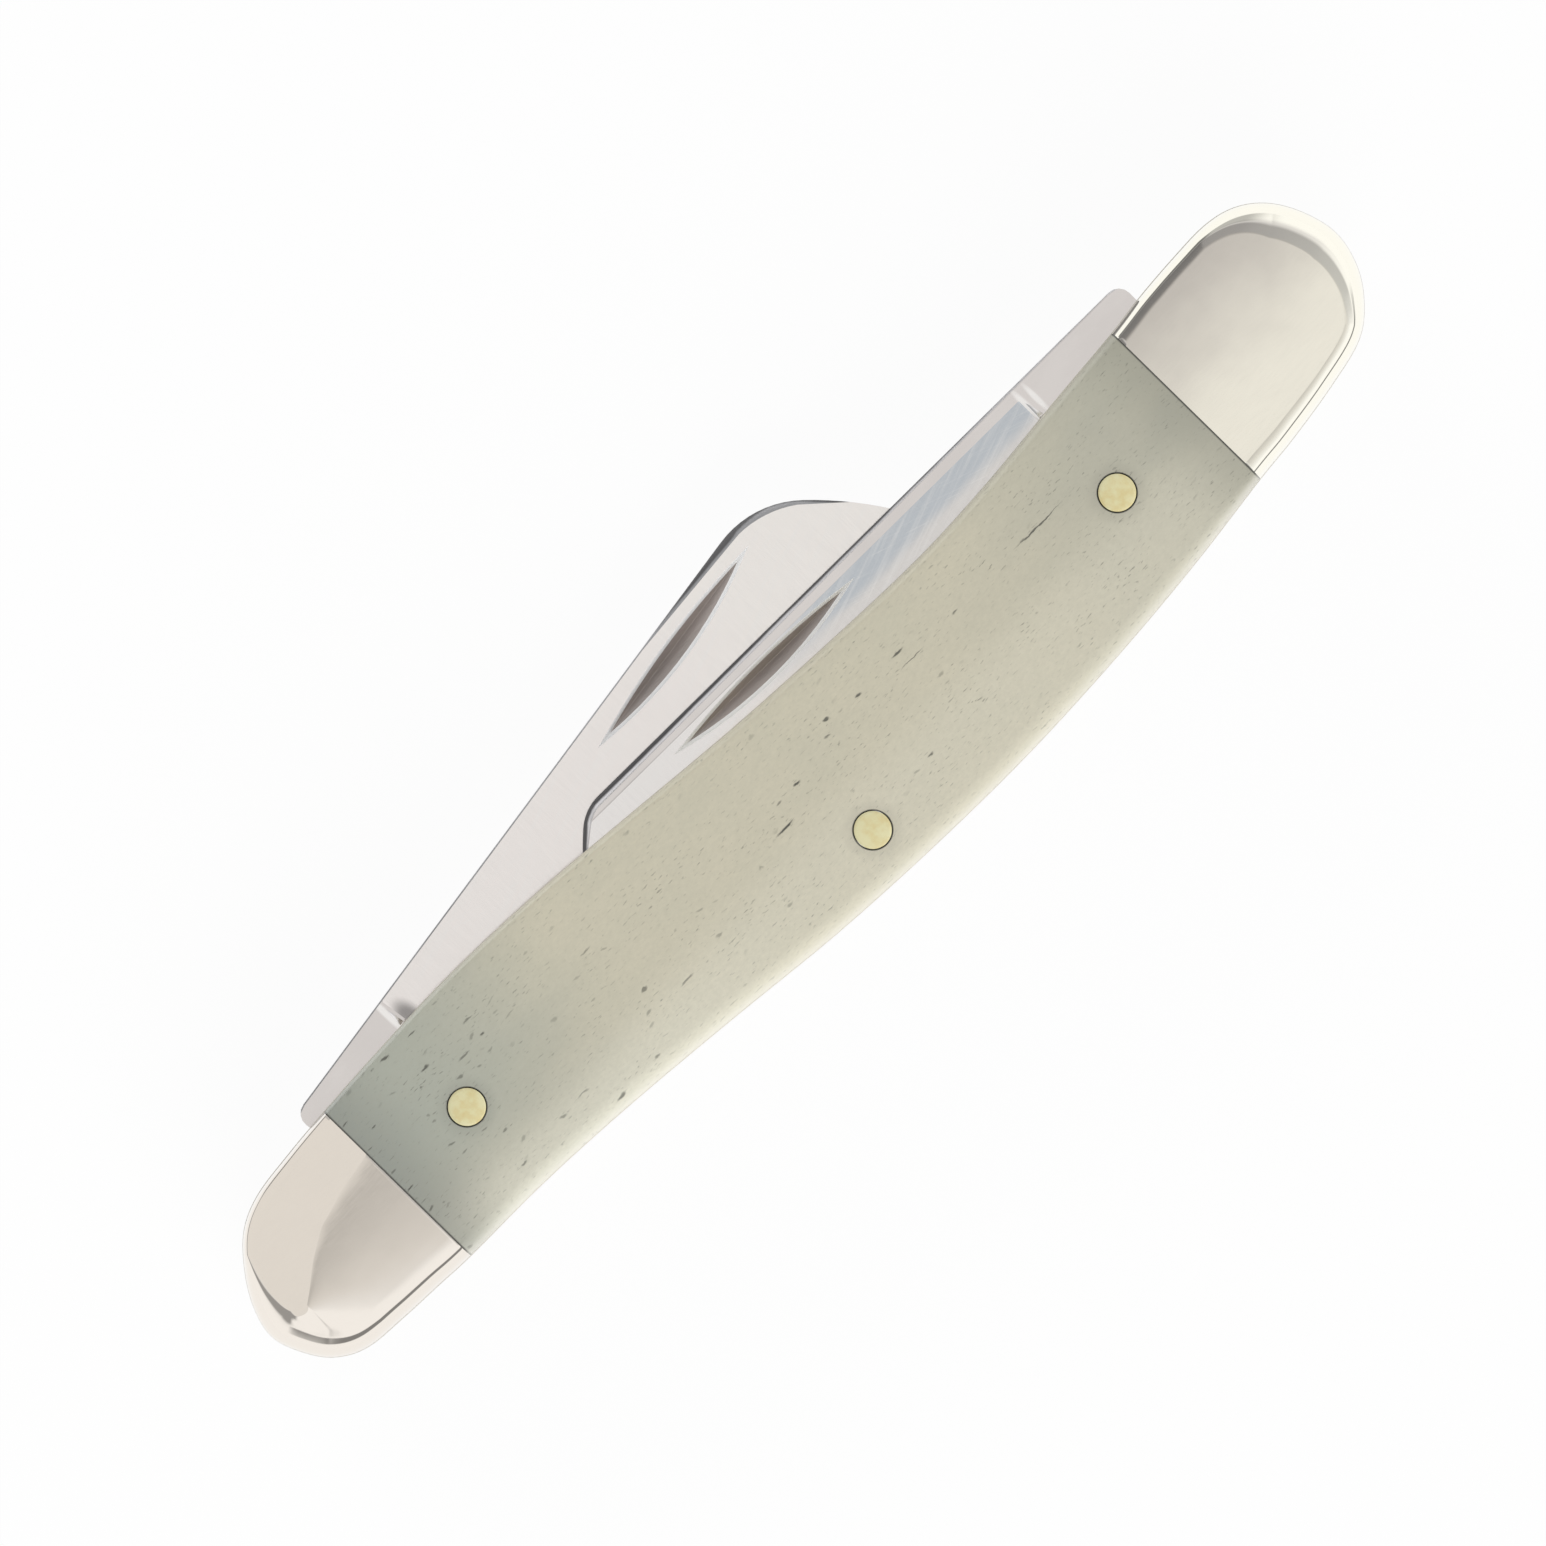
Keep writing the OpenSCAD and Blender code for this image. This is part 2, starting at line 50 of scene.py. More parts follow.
# The covers, which are the scales and the bolsters: how far they sit inside the liners' edge, and
# the width of their rounding by share of the way round the outline, from joint to joint: over the
# upper side of the scales, round the tail, along the lower side and round the head. Then the
# rounding's depth and steps, and the break of the edges at the joints.
COVER_SET = 0.06
ROUND_STOPS = {"top": [(0, 0.5), (1, 0.22)],
               "tail": [(0, 0.22), (0.3, 0.3), (0.48, 2.0), (0.66, 2.0), (0.8, 1.2), (1, 1.0)],
               "foot": [(0, 1.0), (0.2, 1.3), (0.75, 1.3), (1, 0.7)],
               "head": [(0, 0.7), (0.25, 0.7), (0.45, 1.9), (0.6, 1.9), (0.8, 0.6), (1, 0.5)]}
ROUND_DEPTH = 2.0
ROUND_RINGS = 16
JOINT_BREAK = 0.05

# The crown that is ground into the covers, by distance from the tail joint towards the head: where
# its crest runs, as a share of the width, and how far it falls over which share of the way to the
# crest, above the crest and below it
CROWN_X = [-9, -7, -5, -2.5, 0, 18, 44, 74]
CREST_SHARE = [0.44, 0.56, 0.65, 0.7, 0.73, 0.5, 0.5, 0.5]
FALL_ABOVE = [0.01, 0.01, 0.01, 0.01, 0.01, 0.02, 0.04, 0.05]
REACH_ABOVE = [0.1, 0.1, 0.1, 0.1, 0.1, 0.15, 0.12, 0.1]
FALL_BELOW = [0.34, 0.34, 0.34, 0.34, 0.34, 0.2, 0.06, 0.03]
REACH_BELOW = [0.96, 0.96, 0.96, 0.96, 0.96, 0.5, 0.2, 0.08]
CROWN_RINGS = 10
# Share of the fall that is straight, so that it ends in a crease, and how the level top is divided
# from there to the crest, by share of the way
CREASE_SHARE = 0.35
FLAT_LEAD = 0.01
LAST_RING = 0.99

# The outline: points that the spline makes of one, and how far round a pin its hole's points lie
REFINE = 4
HOLE_REACH = 1.6

# Pins: gap round the brass ones, height of their domed ends, and how far the pivot pins end under
# the bolsters
PIN_GAP = 0.07
PIN_DOME = 0.03
PIN_SUNK = 0.3
DOME_RINGS = 5
PINS = ["head_pivot_pin", "tail_pivot_pin",
        "centre_pin", "front_head_scale_pin", "front_tail_scale_pin"]

# Blades: the finishes of their faces, and the width of the broken edges that get each finish. A
# spine break of 0.26 folds a sliver of the sheepsfoot's flat over.
POLISHED, GROUND, MILLED, SPINE, RIM, CREASE = range(6)
BREAKS = {SPINE: 0.09, RIM: 0.12, MILLED: 0.05, CREASE: 0.07, POLISHED: 0.03}
BREAK_STEPS = 4
SPRING_BREAK = 0.04

# Angles in degrees between two faces from which their edge counts as sharp
SHARP_ANGLE = 18
SPRING_ANGLE = 30
JOINT_ANGLE = 60
COVER_ANGLE = 50
DOME_ANGLE = 50
SUNK_ANGLE = 30

# How a blade's faces are told apart: the middle of each nail nick with its half length and half
# height, the slopes of nicks, grinds and bevels in degrees, and how much of a bevel's sideways
# direction has to be along Y
NICKS = {"spey_blade": (4.4, 6.5), "sheepsfoot_blade": (1.2, 11.3)}
NICK_HALF = (7.4, 1.35)
NICK_SLOPE = (20, 80)
GRIND_SLOPE = (4, 9)
BEVEL_SLOPE = (30, 50)
AHEAD = 0.3

# How its edges are told apart by the directions of their faces: Z of a nearly level and of a truly
# flat one, least Y of the spine's wall, range of Z of a slanting one, and how much those beside a
# crease differ, at most along X and at least along Y
NEAR_LEVEL = 0.98
TRULY_FLAT = 0.9999
SPINE_WALL = 0.9
SLANT = (0.3, 0.95)
CREASE_X = 0.02
CREASE_Y = 0.05

# Cleaning of the CAD meshes: points closer than this are one, and so are faces that differ by fewer
# degrees. Then how much large faces rule the shading, where 50 is neutral.
WELD = 0.001
SAME_FACE = 0.2
FLAT_WEIGHT = 80


# Meshes and modifiers


def new_piece(name, verts, faces):
    """A mesh object in the row frame, with its points given in millimetres."""
    mesh = bpy.data.meshes.new(name)
    mesh.from_pydata([tuple(c * MM for c in p) for p in verts], [], faces)
    mesh.validate()
    piece = bpy.data.objects.new(name, mesh)
    bpy.context.scene.collection.objects.link(piece)
    return piece


def turn_outwards(piece):
    """Makes all faces of a closed mesh look outwards."""
    work = bmesh.new()
    work.from_mesh(piece.data)
    bmesh.ops.recalc_face_normals(work, faces=work.faces)
    work.to_mesh(piece.data)
    work.free()


def break_edges(piece, width, angle):
    """Takes the sharpness off the edges of a piece."""
    bevel = piece.modifiers.new("edge_break", "BEVEL")
    bevel.width = width * MM
    bevel.segments = 2
    bevel.limit_method = "ANGLE"
    bevel.angle_limit = math.radians(angle)
    bevel.use_clamp_overlap = True
    bevel.material = 0


def apply_modifiers(piece):
    graph = bpy.context.evaluated_depsgraph_get()
    piece.data = bpy.data.meshes.new_from_object(piece.evaluated_get(graph))
    piece.modifiers.clear()


def settle(piece):
    """Shades a piece smooth between its sharp edges, keeps its flats flat, and applies all that."""
    piece.data.shade_smooth()
    flats = piece.modifiers.new("flats", "WEIGHTED_NORMAL")
    flats.keep_sharp = True
    flats.weight = FLAT_WEIGHT
    apply_modifiers(piece)


def mark_sharp(piece, angle):
    piece.data.set_sharp_from_angle(angle=math.radians(angle))


def finished(node):
    """A welded copy of a CAD node with clean flats, to be given fine edges."""
    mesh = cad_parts[node].data.copy()
    if "custom_normal" in mesh.attributes:
        mesh.attributes.remove(mesh.attributes["custom_normal"])
    work = bmesh.new()
    work.from_mesh(mesh)
    bmesh.ops.remove_doubles(work, verts=work.verts, dist=WELD * MM)
    bmesh.ops.dissolve_limit(work, angle_limit=math.radians(SAME_FACE), verts=work.verts,
                             edges=work.edges)
    work.to_mesh(mesh)
    work.free()
    piece = bpy.data.objects.new(node + "_finished", mesh)
    bpy.context.scene.collection.objects.link(piece)
    return piece


def lathed(name, profile, axis, steps=64):
    """A mesh turned about an upright axis, from the (radius, height) points of its wall."""
    verts = []
    for radius, height in profile:
        for k in range(steps):
            turn = 2 * math.pi * k / steps
            x, y = axis[0] + radius * math.cos(turn), axis[1] + radius * math.sin(turn)
            verts.append((x, y, height))
    last = (len(profile) - 1) * steps
    faces = [tuple(reversed(range(steps))), tuple(last + k for k in range(steps))]
    for ring in range(len(profile) - 1):
        low, high = ring * steps, (ring + 1) * steps
        for k in range(steps):
            n = (k + 1) % steps
            faces.append((low + k, low + n, high + n, high + k))
    return new_piece(name, verts, faces)


def stand_for(piece, node, body, materials):
    """Puts a finished piece in the place of its CAD node."""
    places = [polygon.material_index for polygon in piece.data.polygons]
    piece.data.materials.clear()
    for material in materials:
        piece.data.materials.append(material)
    piece.data.polygons.foreach_set("material_index", [min(p, len(materials) - 1) for p in places])
    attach(piece, body)
    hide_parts(node)


# The handle's outline, from the frame


def box_mm(node):
    """Lowest and highest corner of a CAD node, in millimetres."""
    low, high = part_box(node)
    return np.array(low) / MM, np.array(high) / MM


def pin_axis(node):
    low, high = box_mm(node)
    return (low[:2] + high[:2]) / 2


def liner_outline():
    """Points round the front liner, counter-clockwise, without those of its holes."""
    points = np.array([v.co[:2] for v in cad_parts["front_liner"].data.vertices]) / MM
    points = np.unique(np.round(points, 4), axis=0)
    for pin in PINS:
        points = points[np.linalg.norm(points - pin_axis(pin), axis=1) > HOLE_REACH]
    low, high = box_mm("front_liner")
    around = points - (low[:2] + high[:2]) / 2
    return points[np.argsort(np.arctan2(around[:, 1], around[:, 0]))]


def refined(points, steps):
    """The same closed line with more points, on a spline."""
    a, b, c, d = (np.roll(points, shift, axis=0) for shift in (1, 0, -1, -2))
    rows = []
    for t in np.arange(steps) / steps:
        rows.append(b + (c - a) * t / 2 + (2 * a - 5 * b + 4 * c - d) * t**2 / 2
                    + (3 * b - a - 3 * c + d) * t**3 / 2)
    return np.stack(rows, axis=1).reshape(-1, 2)


OUTLINE = refined(liner_outline(), REFINE)
TANGENT = np.roll(OUTLINE, -1, axis=0) - np.roll(OUTLINE, 1, axis=0)
INWARD = np.stack([-TANGENT[:, 1], TANGENT[:, 0]], axis=1)
INWARD = INWARD / np.linalg.norm(TANGENT, axis=1)[:, None]
HEAD_JOINT = box_mm("front_head_bolster")[0][0]
TAIL_JOINT = box_mm("front_tail_bolster")[1][0]
HEAD_PIVOT = pin_axis("head_pivot_pin")
KNIFE_TOP = box_mm("front_scale")[1][2]


def corner(joint_x, above):
    """Index of the outline's point at a joint, on the upper or the lower side."""
    far = np.abs(OUTLINE[:, 0] - joint_x) + 1000 * ((OUTLINE[:, 1] > 0) != above)
    return int(np.argmin(far))


def run(start, end):
    """Indices of the outline from one corner on to another."""
    count = (end - start) % len(OUTLINE)
    return [(start + i) % len(OUTLINE) for i in range(count + 1)]


HEAD_TOP = corner(HEAD_JOINT, True)
TAIL_TOP = corner(TAIL_JOINT, True)
TAIL_FOOT = corner(TAIL_JOINT, False)
HEAD_FOOT = corner(HEAD_JOINT, False)
RUNS = {"top": run(HEAD_TOP, TAIL_TOP), "tail": run(TAIL_TOP, TAIL_FOOT),
        "foot": run(TAIL_FOOT, HEAD_FOOT), "head": run(HEAD_FOOT, HEAD_TOP)}


def round_width(index):
    """Width of the covers' rounding at a point of the outline."""
    for name, indices in RUNS.items():
        if index in indices:
            shares, widths = zip(*ROUND_STOPS[name])
            return float(np.interp(indices.index(index) / (len(indices) - 1), shares, widths))


def side_y(x, above):
    """Height of the outline's upper or lower side at x."""
    side = OUTLINE[(OUTLINE[:, 1] > 0) == above]
    side = side[np.argsort(side[:, 0])]
    return np.interp(x, side[:, 0], side[:, 1])


def crown_value(x, values):
    return float(np.interp(x - TAIL_JOINT, CROWN_X, values))


def crest(x):
    """The point of the crown's crest that a cover rises to at x."""
    along = min(max(x, TAIL_JOINT + CROWN_X[0]), HEAD_PIVOT[0])
    low, high = side_y(along, False), side_y(along, True)
    return np.array([along, low + (high - low) * crown_value(along, CREST_SHARE)])


def crown_at(point):
    """How far the crown falls towards a point of the outline, and over which share of the way."""
    top = crest(point[0])
    below = max((top[1] - point[1]) / np.linalg.norm(top - point), 0)
    below = below**2 * (3 - 2 * below)
    fall = [crown_value(point[0], values) for values in (FALL_ABOVE, FALL_BELOW)]
    reach = [crown_value(point[0], values) for values in (REACH_ABOVE, REACH_BELOW)]
    return fall[0] + (fall[1] - fall[0]) * below, reach[0] + (reach[1] - reach[0]) * below


# Covers


def cover_column(index, joint, cover_t):
    """Points of a cover over one of its outline's: up the wall, over the rounding, to the crest."""
    point = OUTLINE[index]
    into = INWARD[index]
    if joint:
        into = np.array([0, math.copysign(1, into[1])])
    width = round_width(index)
    fall, reach = crown_at(point)
    slope = (2 - CREASE_SHARE) * fall / (reach * np.linalg.norm(crest(point[0]) - point))
    last_turn = math.atan(ROUND_DEPTH / width / slope)
    wall = cover_t - fall - ROUND_DEPTH * math.sin(last_turn)
    column = [(*(point + into * COVER_SET), 0)]
    for ring in range(ROUND_RINGS + 1):
        turn = last_turn * ring / ROUND_RINGS
        at = point + into * (COVER_SET + width * (1 - math.cos(turn)))
        column.append((*at, wall + ROUND_DEPTH * math.sin(turn)))
    to_crest = crest(at[0]) - at
    for ring in range(1, CROWN_RINGS + 1):
        share = ring / CROWN_RINGS
        drop = (1 - CREASE_SHARE) * (1 - share) ** 2 + CREASE_SHARE * (1 - share)
        column.append((*(at + to_crest * reach * share), cover_t - fall * drop))
    for share in (reach + FLAT_LEAD, LAST_RING):
        column.append((*(at + to_crest * min(share, LAST_RING)), cover_t))
    return column


def cover(name, runs, node):
    """A scale or bolster over the given runs of the outline, in place of its CAD node."""
    low, high = box_mm(node)
    cover_t = high[2] - low[2]
    columns = []
    for indices in runs:
        for index in indices:
            columns.append(cover_column(index, index in (indices[0], indices[-1]), cover_t))
    count = len(columns)
    rings = len(columns[0])
    verts = [columns[j][ring] for ring in range(rings) for j in range(count)]
    if node.startswith("rear"):
        verts = [(x, y, cover_t - z) for x, y, z in verts]
    else:
        verts = [(x, y, low[2] + z) for x, y, z in verts]
    faces = [tuple(reversed(range(count))), tuple((rings - 1) * count + j for j in range(count))]
    for ring in range(rings - 1):
        for j in range(count):
            k = (j + 1) % count
            below, above = ring * count, (ring + 1) * count
            faces.append((below + j, below + k, above + k, above + j))
    piece = new_piece(name, verts, faces)
    turn_outwards(piece)
    return piece


def bore(piece, pin):
    """A hole for a brass pin, a little wider than the pin."""
    low, high = box_mm(pin)
    radius = (high[0] - low[0]) / 2 + PIN_GAP
    cutter = lathed("cutter", [(radius, -KNIFE_TOP), (radius, 2 * KNIFE_TOP)], pin_axis(pin))
    cut = piece.modifiers.new("bore", "BOOLEAN")
    cut.operation = "DIFFERENCE"
    cut.solver = "EXACT"
    cut.object = cutter
    apply_modifiers(piece)
    bpy.data.objects.remove(cutter)


def dress_covers(metal, scale_material):
    """Scales and bolsters, as smooth pieces in place of their faceted nodes."""
    plan = [("scale", ["top", "foot"], scale_material, "bone"),
            ("head_bolster", ["head"], metal, "nickel_silver"),
            ("tail_bolster", ["tail"], metal, "nickel_silver")]
    for side in ("front", "rear"):
        for kind, runs, material, slot in plan:
            node = side + "_" + kind
            piece = cover(node + "_finished", [RUNS[name] for name in runs], node)
            break_edges(piece, JOINT_BREAK, JOINT_ANGLE)
            apply_modifiers(piece)
            if kind == "scale":
                for pin in (side + "_head_scale_pin", side + "_tail_scale_pin", "centre_pin"):
                    bore(piece, pin)
            mark_sharp(piece, COVER_ANGLE)
            settle(piece)
            stand_for(piece, node, "handle", [material])


# Pins


def domed_pin(node, material):
    """A pin whose ends are finished with a low dome, flush with the covers."""
    low, high = box_mm(node)
    radius = (high[0] - low[0]) / 2
    up = []
    for ring in range(DOME_RINGS + 1):
        turn = math.pi / 2 * (1 - ring / (DOME_RINGS + 0.5))
        up.append((radius * math.sin(turn), high[2] - PIN_DOME * (1 - math.cos(turn))))
    foot = low[2] if low[2] > KNIFE_TOP / 2 else None
    down = [(radius, foot)] if foot else [(r, low[2] + high[2] - z) for r, z in reversed(up)]
    if high[2] < KNIFE_TOP / 2:
        up = [(radius, high[2])]
    piece = lathed(node + "_finished", down + up, pin_axis(node))
    turn_outwards(piece)
    mark_sharp(piece, DOME_ANGLE)
    settle(piece)
    stand_for(piece, node, "handle", [material])


def sunk_pin(node, material):
    """A pivot pin whose ends are ground away into the bolsters, so that they don't show."""
    low, high = box_mm(node)
    radius = (high[0] - low[0]) / 2
    foot, head = low[2] + PIN_SUNK, high[2] - PIN_SUNK
    profile = [(radius - PIN_SUNK, foot), (radius, foot + PIN_SUNK), (radius, head - PIN_SUNK),
               (radius - PIN_SUNK, head)]
    piece = lathed(node + "_finished", profile, pin_axis(node))
    turn_outwards(piece)
    mark_sharp(piece, SUNK_ANGLE)
    settle(piece)
    stand_for(piece, node, "handle", [material])


# Blades and springs


def sort_faces(work, node):
    """Gives a blade's faces their finish: grinds are ground, the nick is milled, the bevels along
    the back count as its spine, and all else is polished.
    """
    low, high = box_mm(node)
    nick = NICKS[node]
    for face in work.faces:
        slope = math.degrees(math.acos(min(1, abs(face.normal.z))))
        centre = face.calc_center_median() / MM
        away = [abs(centre[i] - nick[i]) for i in (0, 1)]
        inside = away[0] < NICK_HALF[0] and away[1] < NICK_HALF[1]
        front = centre.z > (low[2] + high[2]) / 2
        ahead = face.normal.y > AHEAD * face.normal.xy.length
        face.material_index = POLISHED
        if GRIND_SLOPE[0] < slope < GRIND_SLOPE[1]:
            face.material_index = GROUND
        elif inside and front and NICK_SLOPE[0] < slope < NICK_SLOPE[1]:
            face.material_index = MILLED
        elif ahead and BEVEL_SLOPE[0] < slope < BEVEL_SLOPE[1]:
            face.material_index = SPINE


def edge_finish(edge):
    """The finish that a sharp edge of a blade is broken with."""
    one, other = edge.link_faces
    nicks = (one.material_index == MILLED) + (other.material_index == MILLED)
    if nicks:
        return MILLED if nicks == 2 else RIM
    flat, side = sorted((one.normal, other.normal), key=lambda normal: -abs(normal.z))
    if abs(flat.z) > NEAR_LEVEL and side.y > SPINE_WALL:
        return SPINE
    aslant = side.y > 0 and SLANT[0] < abs(side.z) < SLANT[1]
    return CREASE if abs(flat.z) > TRULY_FLAT and aslant else POLISHED


def is_crease(edge):
    """Whether an edge parts a flat from a grind, which stays crisp."""
    one, other = edge.link_faces
    away = one.normal - other.normal
    level = min(abs(one.normal.z), abs(other.normal.z)) > NEAR_LEVEL
    return level and abs(away.y) > CREASE_Y and abs(away.x) < CREASE_X


def is_sharp(edge):
    """Whether an edge is still to be broken."""
    done = any(face.material_index in (SPINE, RIM, CREASE) for face in edge.link_faces)
    whole = len(edge.link_faces) == 2
    return whole and not done and edge.calc_face_angle() > math.radians(SHARP_ANGLE)


def soften_blade(piece, node):
    """Breaks a blade's sharp edges, each with its width and finish, and keeps its creases crisp."""
    work = bmesh.new()
    work.from_mesh(piece.data)
    work.normal_update()
    sort_faces(work, node)
    for edge in work.edges:
        edge.smooth = not is_crease(edge)
    for finish, width in BREAKS.items():
        sharp = [edge for edge in work.edges if is_sharp(edge) and edge_finish(edge) == finish]
        bmesh.ops.bevel(work, geom=sharp, offset=width * MM, offset_type="OFFSET", profile=0.5,
                        segments=BREAK_STEPS, affect="EDGES", material=finish,
                        clamp_overlap=finish not in (SPINE, RIM))
        work.normal_update()
    work.to_mesh(piece.data)
    work.free()


def dress_blade(node, body, materials):
    piece = finished(node)
    for material in materials:
        piece.data.materials.append(material)
    soften_blade(piece, node)
    settle(piece)
    stand_for(piece, node, body, materials)


def dress_spring(node, material):
    piece = finished(node)
    break_edges(piece, SPRING_BREAK, SPRING_ANGLE)
    settle(piece)
    stand_for(piece, node, "handle", [material])


def repaint(nodes, material):
    """CAD nodes whose shape is right get only a better material."""
    for node in nodes:
        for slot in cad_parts[node].material_slots:
            slot.material = material


# Materials


class Shader:
    """A node tree, built one node at a time."""

    def __init__(self, owner):
        owner.use_nodes = True
        self.tree = owner.node_tree
        self.tree.nodes.clear()

    def node(self, kind, sockets=(), **settings):
        made = self.tree.nodes.new("ShaderNode" + kind)
        for name, value in settings.items():
            setattr(made, name, value)
        for name, value in dict(sockets).items():
            if isinstance(value, bpy.types.NodeSocket):
                self.tree.links.new(value, made.inputs[name])
            else:
                made.inputs[name].default_value = value
        return made

    def place(self, stretch=(1, 1, 1), shift=(0, 0, 0)):
        """The piece's own coordinates in millimetres, squeezed along each axis."""
        coordinates = self.node("TexCoord").outputs["Object"]
        scale = tuple(1 / MM / s for s in stretch)
        sockets = {"Vector": coordinates, "Scale": scale, "Location": shift}
        return self.node("Mapping", sockets).outputs[0]

    def turned_place(self, degrees, stretch):
        """The same, turned about Z first, for marks that run aslant."""
        sockets = {"Vector": self.place(), "Angle": math.radians(degrees)}
        turned = self.node("VectorRotate", sockets, rotation_type="Z_AXIS").outputs[0]
        scale = tuple(1 / s for s in stretch)
        return self.node("Mapping", {"Vector": turned, "Scale": scale}).outputs[0]

    def axes(self, vector):
        return self.node("SeparateXYZ", {"Vector": vector}).outputs

    def noise(self, vector, size, detail=3.0, rough=0.55):
        sockets = {"Vector": vector, "Scale": 1 / size, "Detail": detail, "Roughness": rough}
        return self.node("TexNoise", sockets).outputs["Fac"]

    def math(self, operation, a, b=0.0):
        return self.node("Math", {0: a, 1: b}, operation=operation).outputs[0]

    def vector(self, operation, a, b=(0, 0, 0)):
        made = self.node("VectorMath", {0: a, 1: b}, operation=operation)
        return made.outputs["Value"] if operation == "LENGTH" else made.outputs["Vector"]

    def ease(self, value, low, high):
        """Runs from 0 at low to 1 at high, smoothly."""
        sockets = {"Value": value, "From Min": low, "From Max": high}
        return self.node("MapRange", sockets, interpolation_type="SMOOTHSTEP").outputs[0]

    def ranged(self, value, low, high, to_low, to_high):
        """Runs from to_low at low to to_high at high, in a straight line."""
        sockets = {"Value": value, "From Min": low, "From Max": high,
                   "To Min": to_low, "To Max": to_high}
        return self.node("MapRange", sockets).outputs[0]

    def mix(self, share, a, b, blend="MIX"):
        made = self.node("Mix", data_type="RGBA", blend_type=blend)
        for socket, value in zip((0, 6, 7), (share, a, b)):
            if isinstance(value, bpy.types.NodeSocket):
                self.tree.links.new(value, made.inputs[socket])
            elif socket == 0:
                made.inputs[socket].default_value = value
            else:
                made.inputs[socket].default_value = (*value, 1)
        return made.outputs[2]

    def stain(self, colour, where, strength, other):
        """A colour with part of another over it."""
        return self.mix(self.math("MULTIPLY", where, strength), colour, other)

    def bump(self, height, distance, **sockets):
        """A relief, with the height of its full rise in millimetres."""
        all_sockets = {"Height": height, "Distance": distance * MM, **sockets}
        return self.node("Bump", all_sockets).outputs[0]

    def spot(self, place, at, half):
        """1 at a place given in millimetres, falling to 0 at half its length and half its width."""
        away = self.vector("SUBTRACT", place, (*at, 0))
        shares = self.vector("MULTIPLY", away, (1 / half[0], 1 / half[1], 0))
        return self.ease(self.vector("LENGTH", shares), 1.0, 0.35)

    def levelled(self):
        """The surface's direction with most of its tilt taken out, as a wheel leaves it."""
        direction = self.node("NewGeometry").outputs["Normal"]
        level = self.vector("MULTIPLY", direction, (LEVEL_SHARE, LEVEL_SHARE, 1))
        return self.vector("NORMALIZE", level)

    def surface(self, **sockets):
        """Ends a material with its surface."""
        names = {key.replace("_", " "): value for key, value in sockets.items()}
        shader = self.node("BsdfPrincipled", names).outputs[0]
        self.node("OutputMaterial", {"Surface": shader})


def seen(red, green, blue):
    """Linear colour of what is seen as these three levels out of 255."""
    return tuple(((v / 255 + 0.055) / 1.055) ** 2.4 for v in (red, green, blue))


def new_material(name):
    material = bpy.data.materials.new(name)
    return material, Shader(material)


# Ground faces: how much of their tilt their gloss shows, and the slant of their marks in degrees
LEVEL_SHARE = 0.08
STREAK_TURN = -19
# Painted glints on the flats at the plunges, and painted shade in the plunge corner of each ground
# face: middle, and half length and half width
GLINTS = [((27.55, 6.2), (0.26, 1.5)), ((26.8, 6.2), (0.3, 1.9)), ((-26.75, 8.3), (0.3, 2.4))]
SPEY_PLUNGE_SHADE = ((27.2, 5.4), (0.3, 1.2))
SHEEPSFOOT_PLUNGE_SHADE = ((-25.9, 6.9), (1.0, 1.9))


def nickel_silver():
    """Polished nickel silver: slight waves and wipes of the wheel, and an uneven, warm cast.
    Painted reflection darkens the head bolster's top and pales its lower part and its steep
    rounding.
    """
    material, shader = new_material("nickel_silver")
    place = shader.place()
    x, y = shader.axes(place)[:2]
    cloud = shader.ranged(shader.noise(place, 4.0, 2.0), 0.3, 0.7, -0.8, 0.8)
    # Painted reflection: towards the head the bolster is darker at its top and paler below
    light = shader.ease(shader.math("SUBTRACT", cloud, y), -6.5, 4.0)
    # Painted highlight: steep faces of the rounding are paler still
    direction = shader.axes(shader.node("NewGeometry").outputs["Normal"])
    steep = shader.ease(shader.math("ABSOLUTE", direction[2]), 0.97, 0.85)
    light = shader.math("MAXIMUM", light, steep)
    head = shader.mix(light, seen(208, 203, 197), seen(255, 252, 240))
    colour = shader.mix(shader.ease(x, TAIL_JOINT, HEAD_JOINT), seen(242, 235, 226), head)
    wipe = shader.noise(shader.place((1.6, 0.18, 1)), 0.6, 4.0)
    rough = shader.ranged(wipe, 0.3, 0.7, 0.05, 0.1)
    wave = shader.bump(shader.noise(place, 2.6, 1.0), 0.008)
    shader.surface(Base_Color=colour, Metallic=1.0, Roughness=rough, Normal=wave)
    return material


def liner_metal():
    """Rolled nickel silver sheet, brushed along the handle and a little dull."""
    material, shader = new_material("liner")
    grain = shader.noise(shader.place((6, 0.1, 0.1)), 0.5, 4.0)
    colour = shader.mix(grain, seen(226, 221, 210), seen(244, 241, 233))
    rough = shader.ranged(grain, 0.3, 0.7, 0.26, 0.38)
    relief = shader.bump(grain, 0.004)
    shader.surface(Base_Color=colour, Metallic=0.5, Roughness=rough, Normal=relief)
    return material


def spring_steel():
    """Ground spring steel, with its grain along the handle and a little darkening."""
    material, shader = new_material("spring_steel")
    grain = shader.noise(shader.place((8, 0.12, 0.12)), 0.6, 5.0)
    cloud = shader.noise(shader.place(), 4.0)
    colour = shader.mix(cloud, seen(196, 197, 199), seen(228, 228, 228))
    rough = shader.ranged(grain, 0.3, 0.7, 0.24, 0.38)
    relief = shader.bump(grain, 0.004)
    shader.surface(Base_Color=colour, Metallic=0.6, Roughness=rough, Normal=relief)
    return material


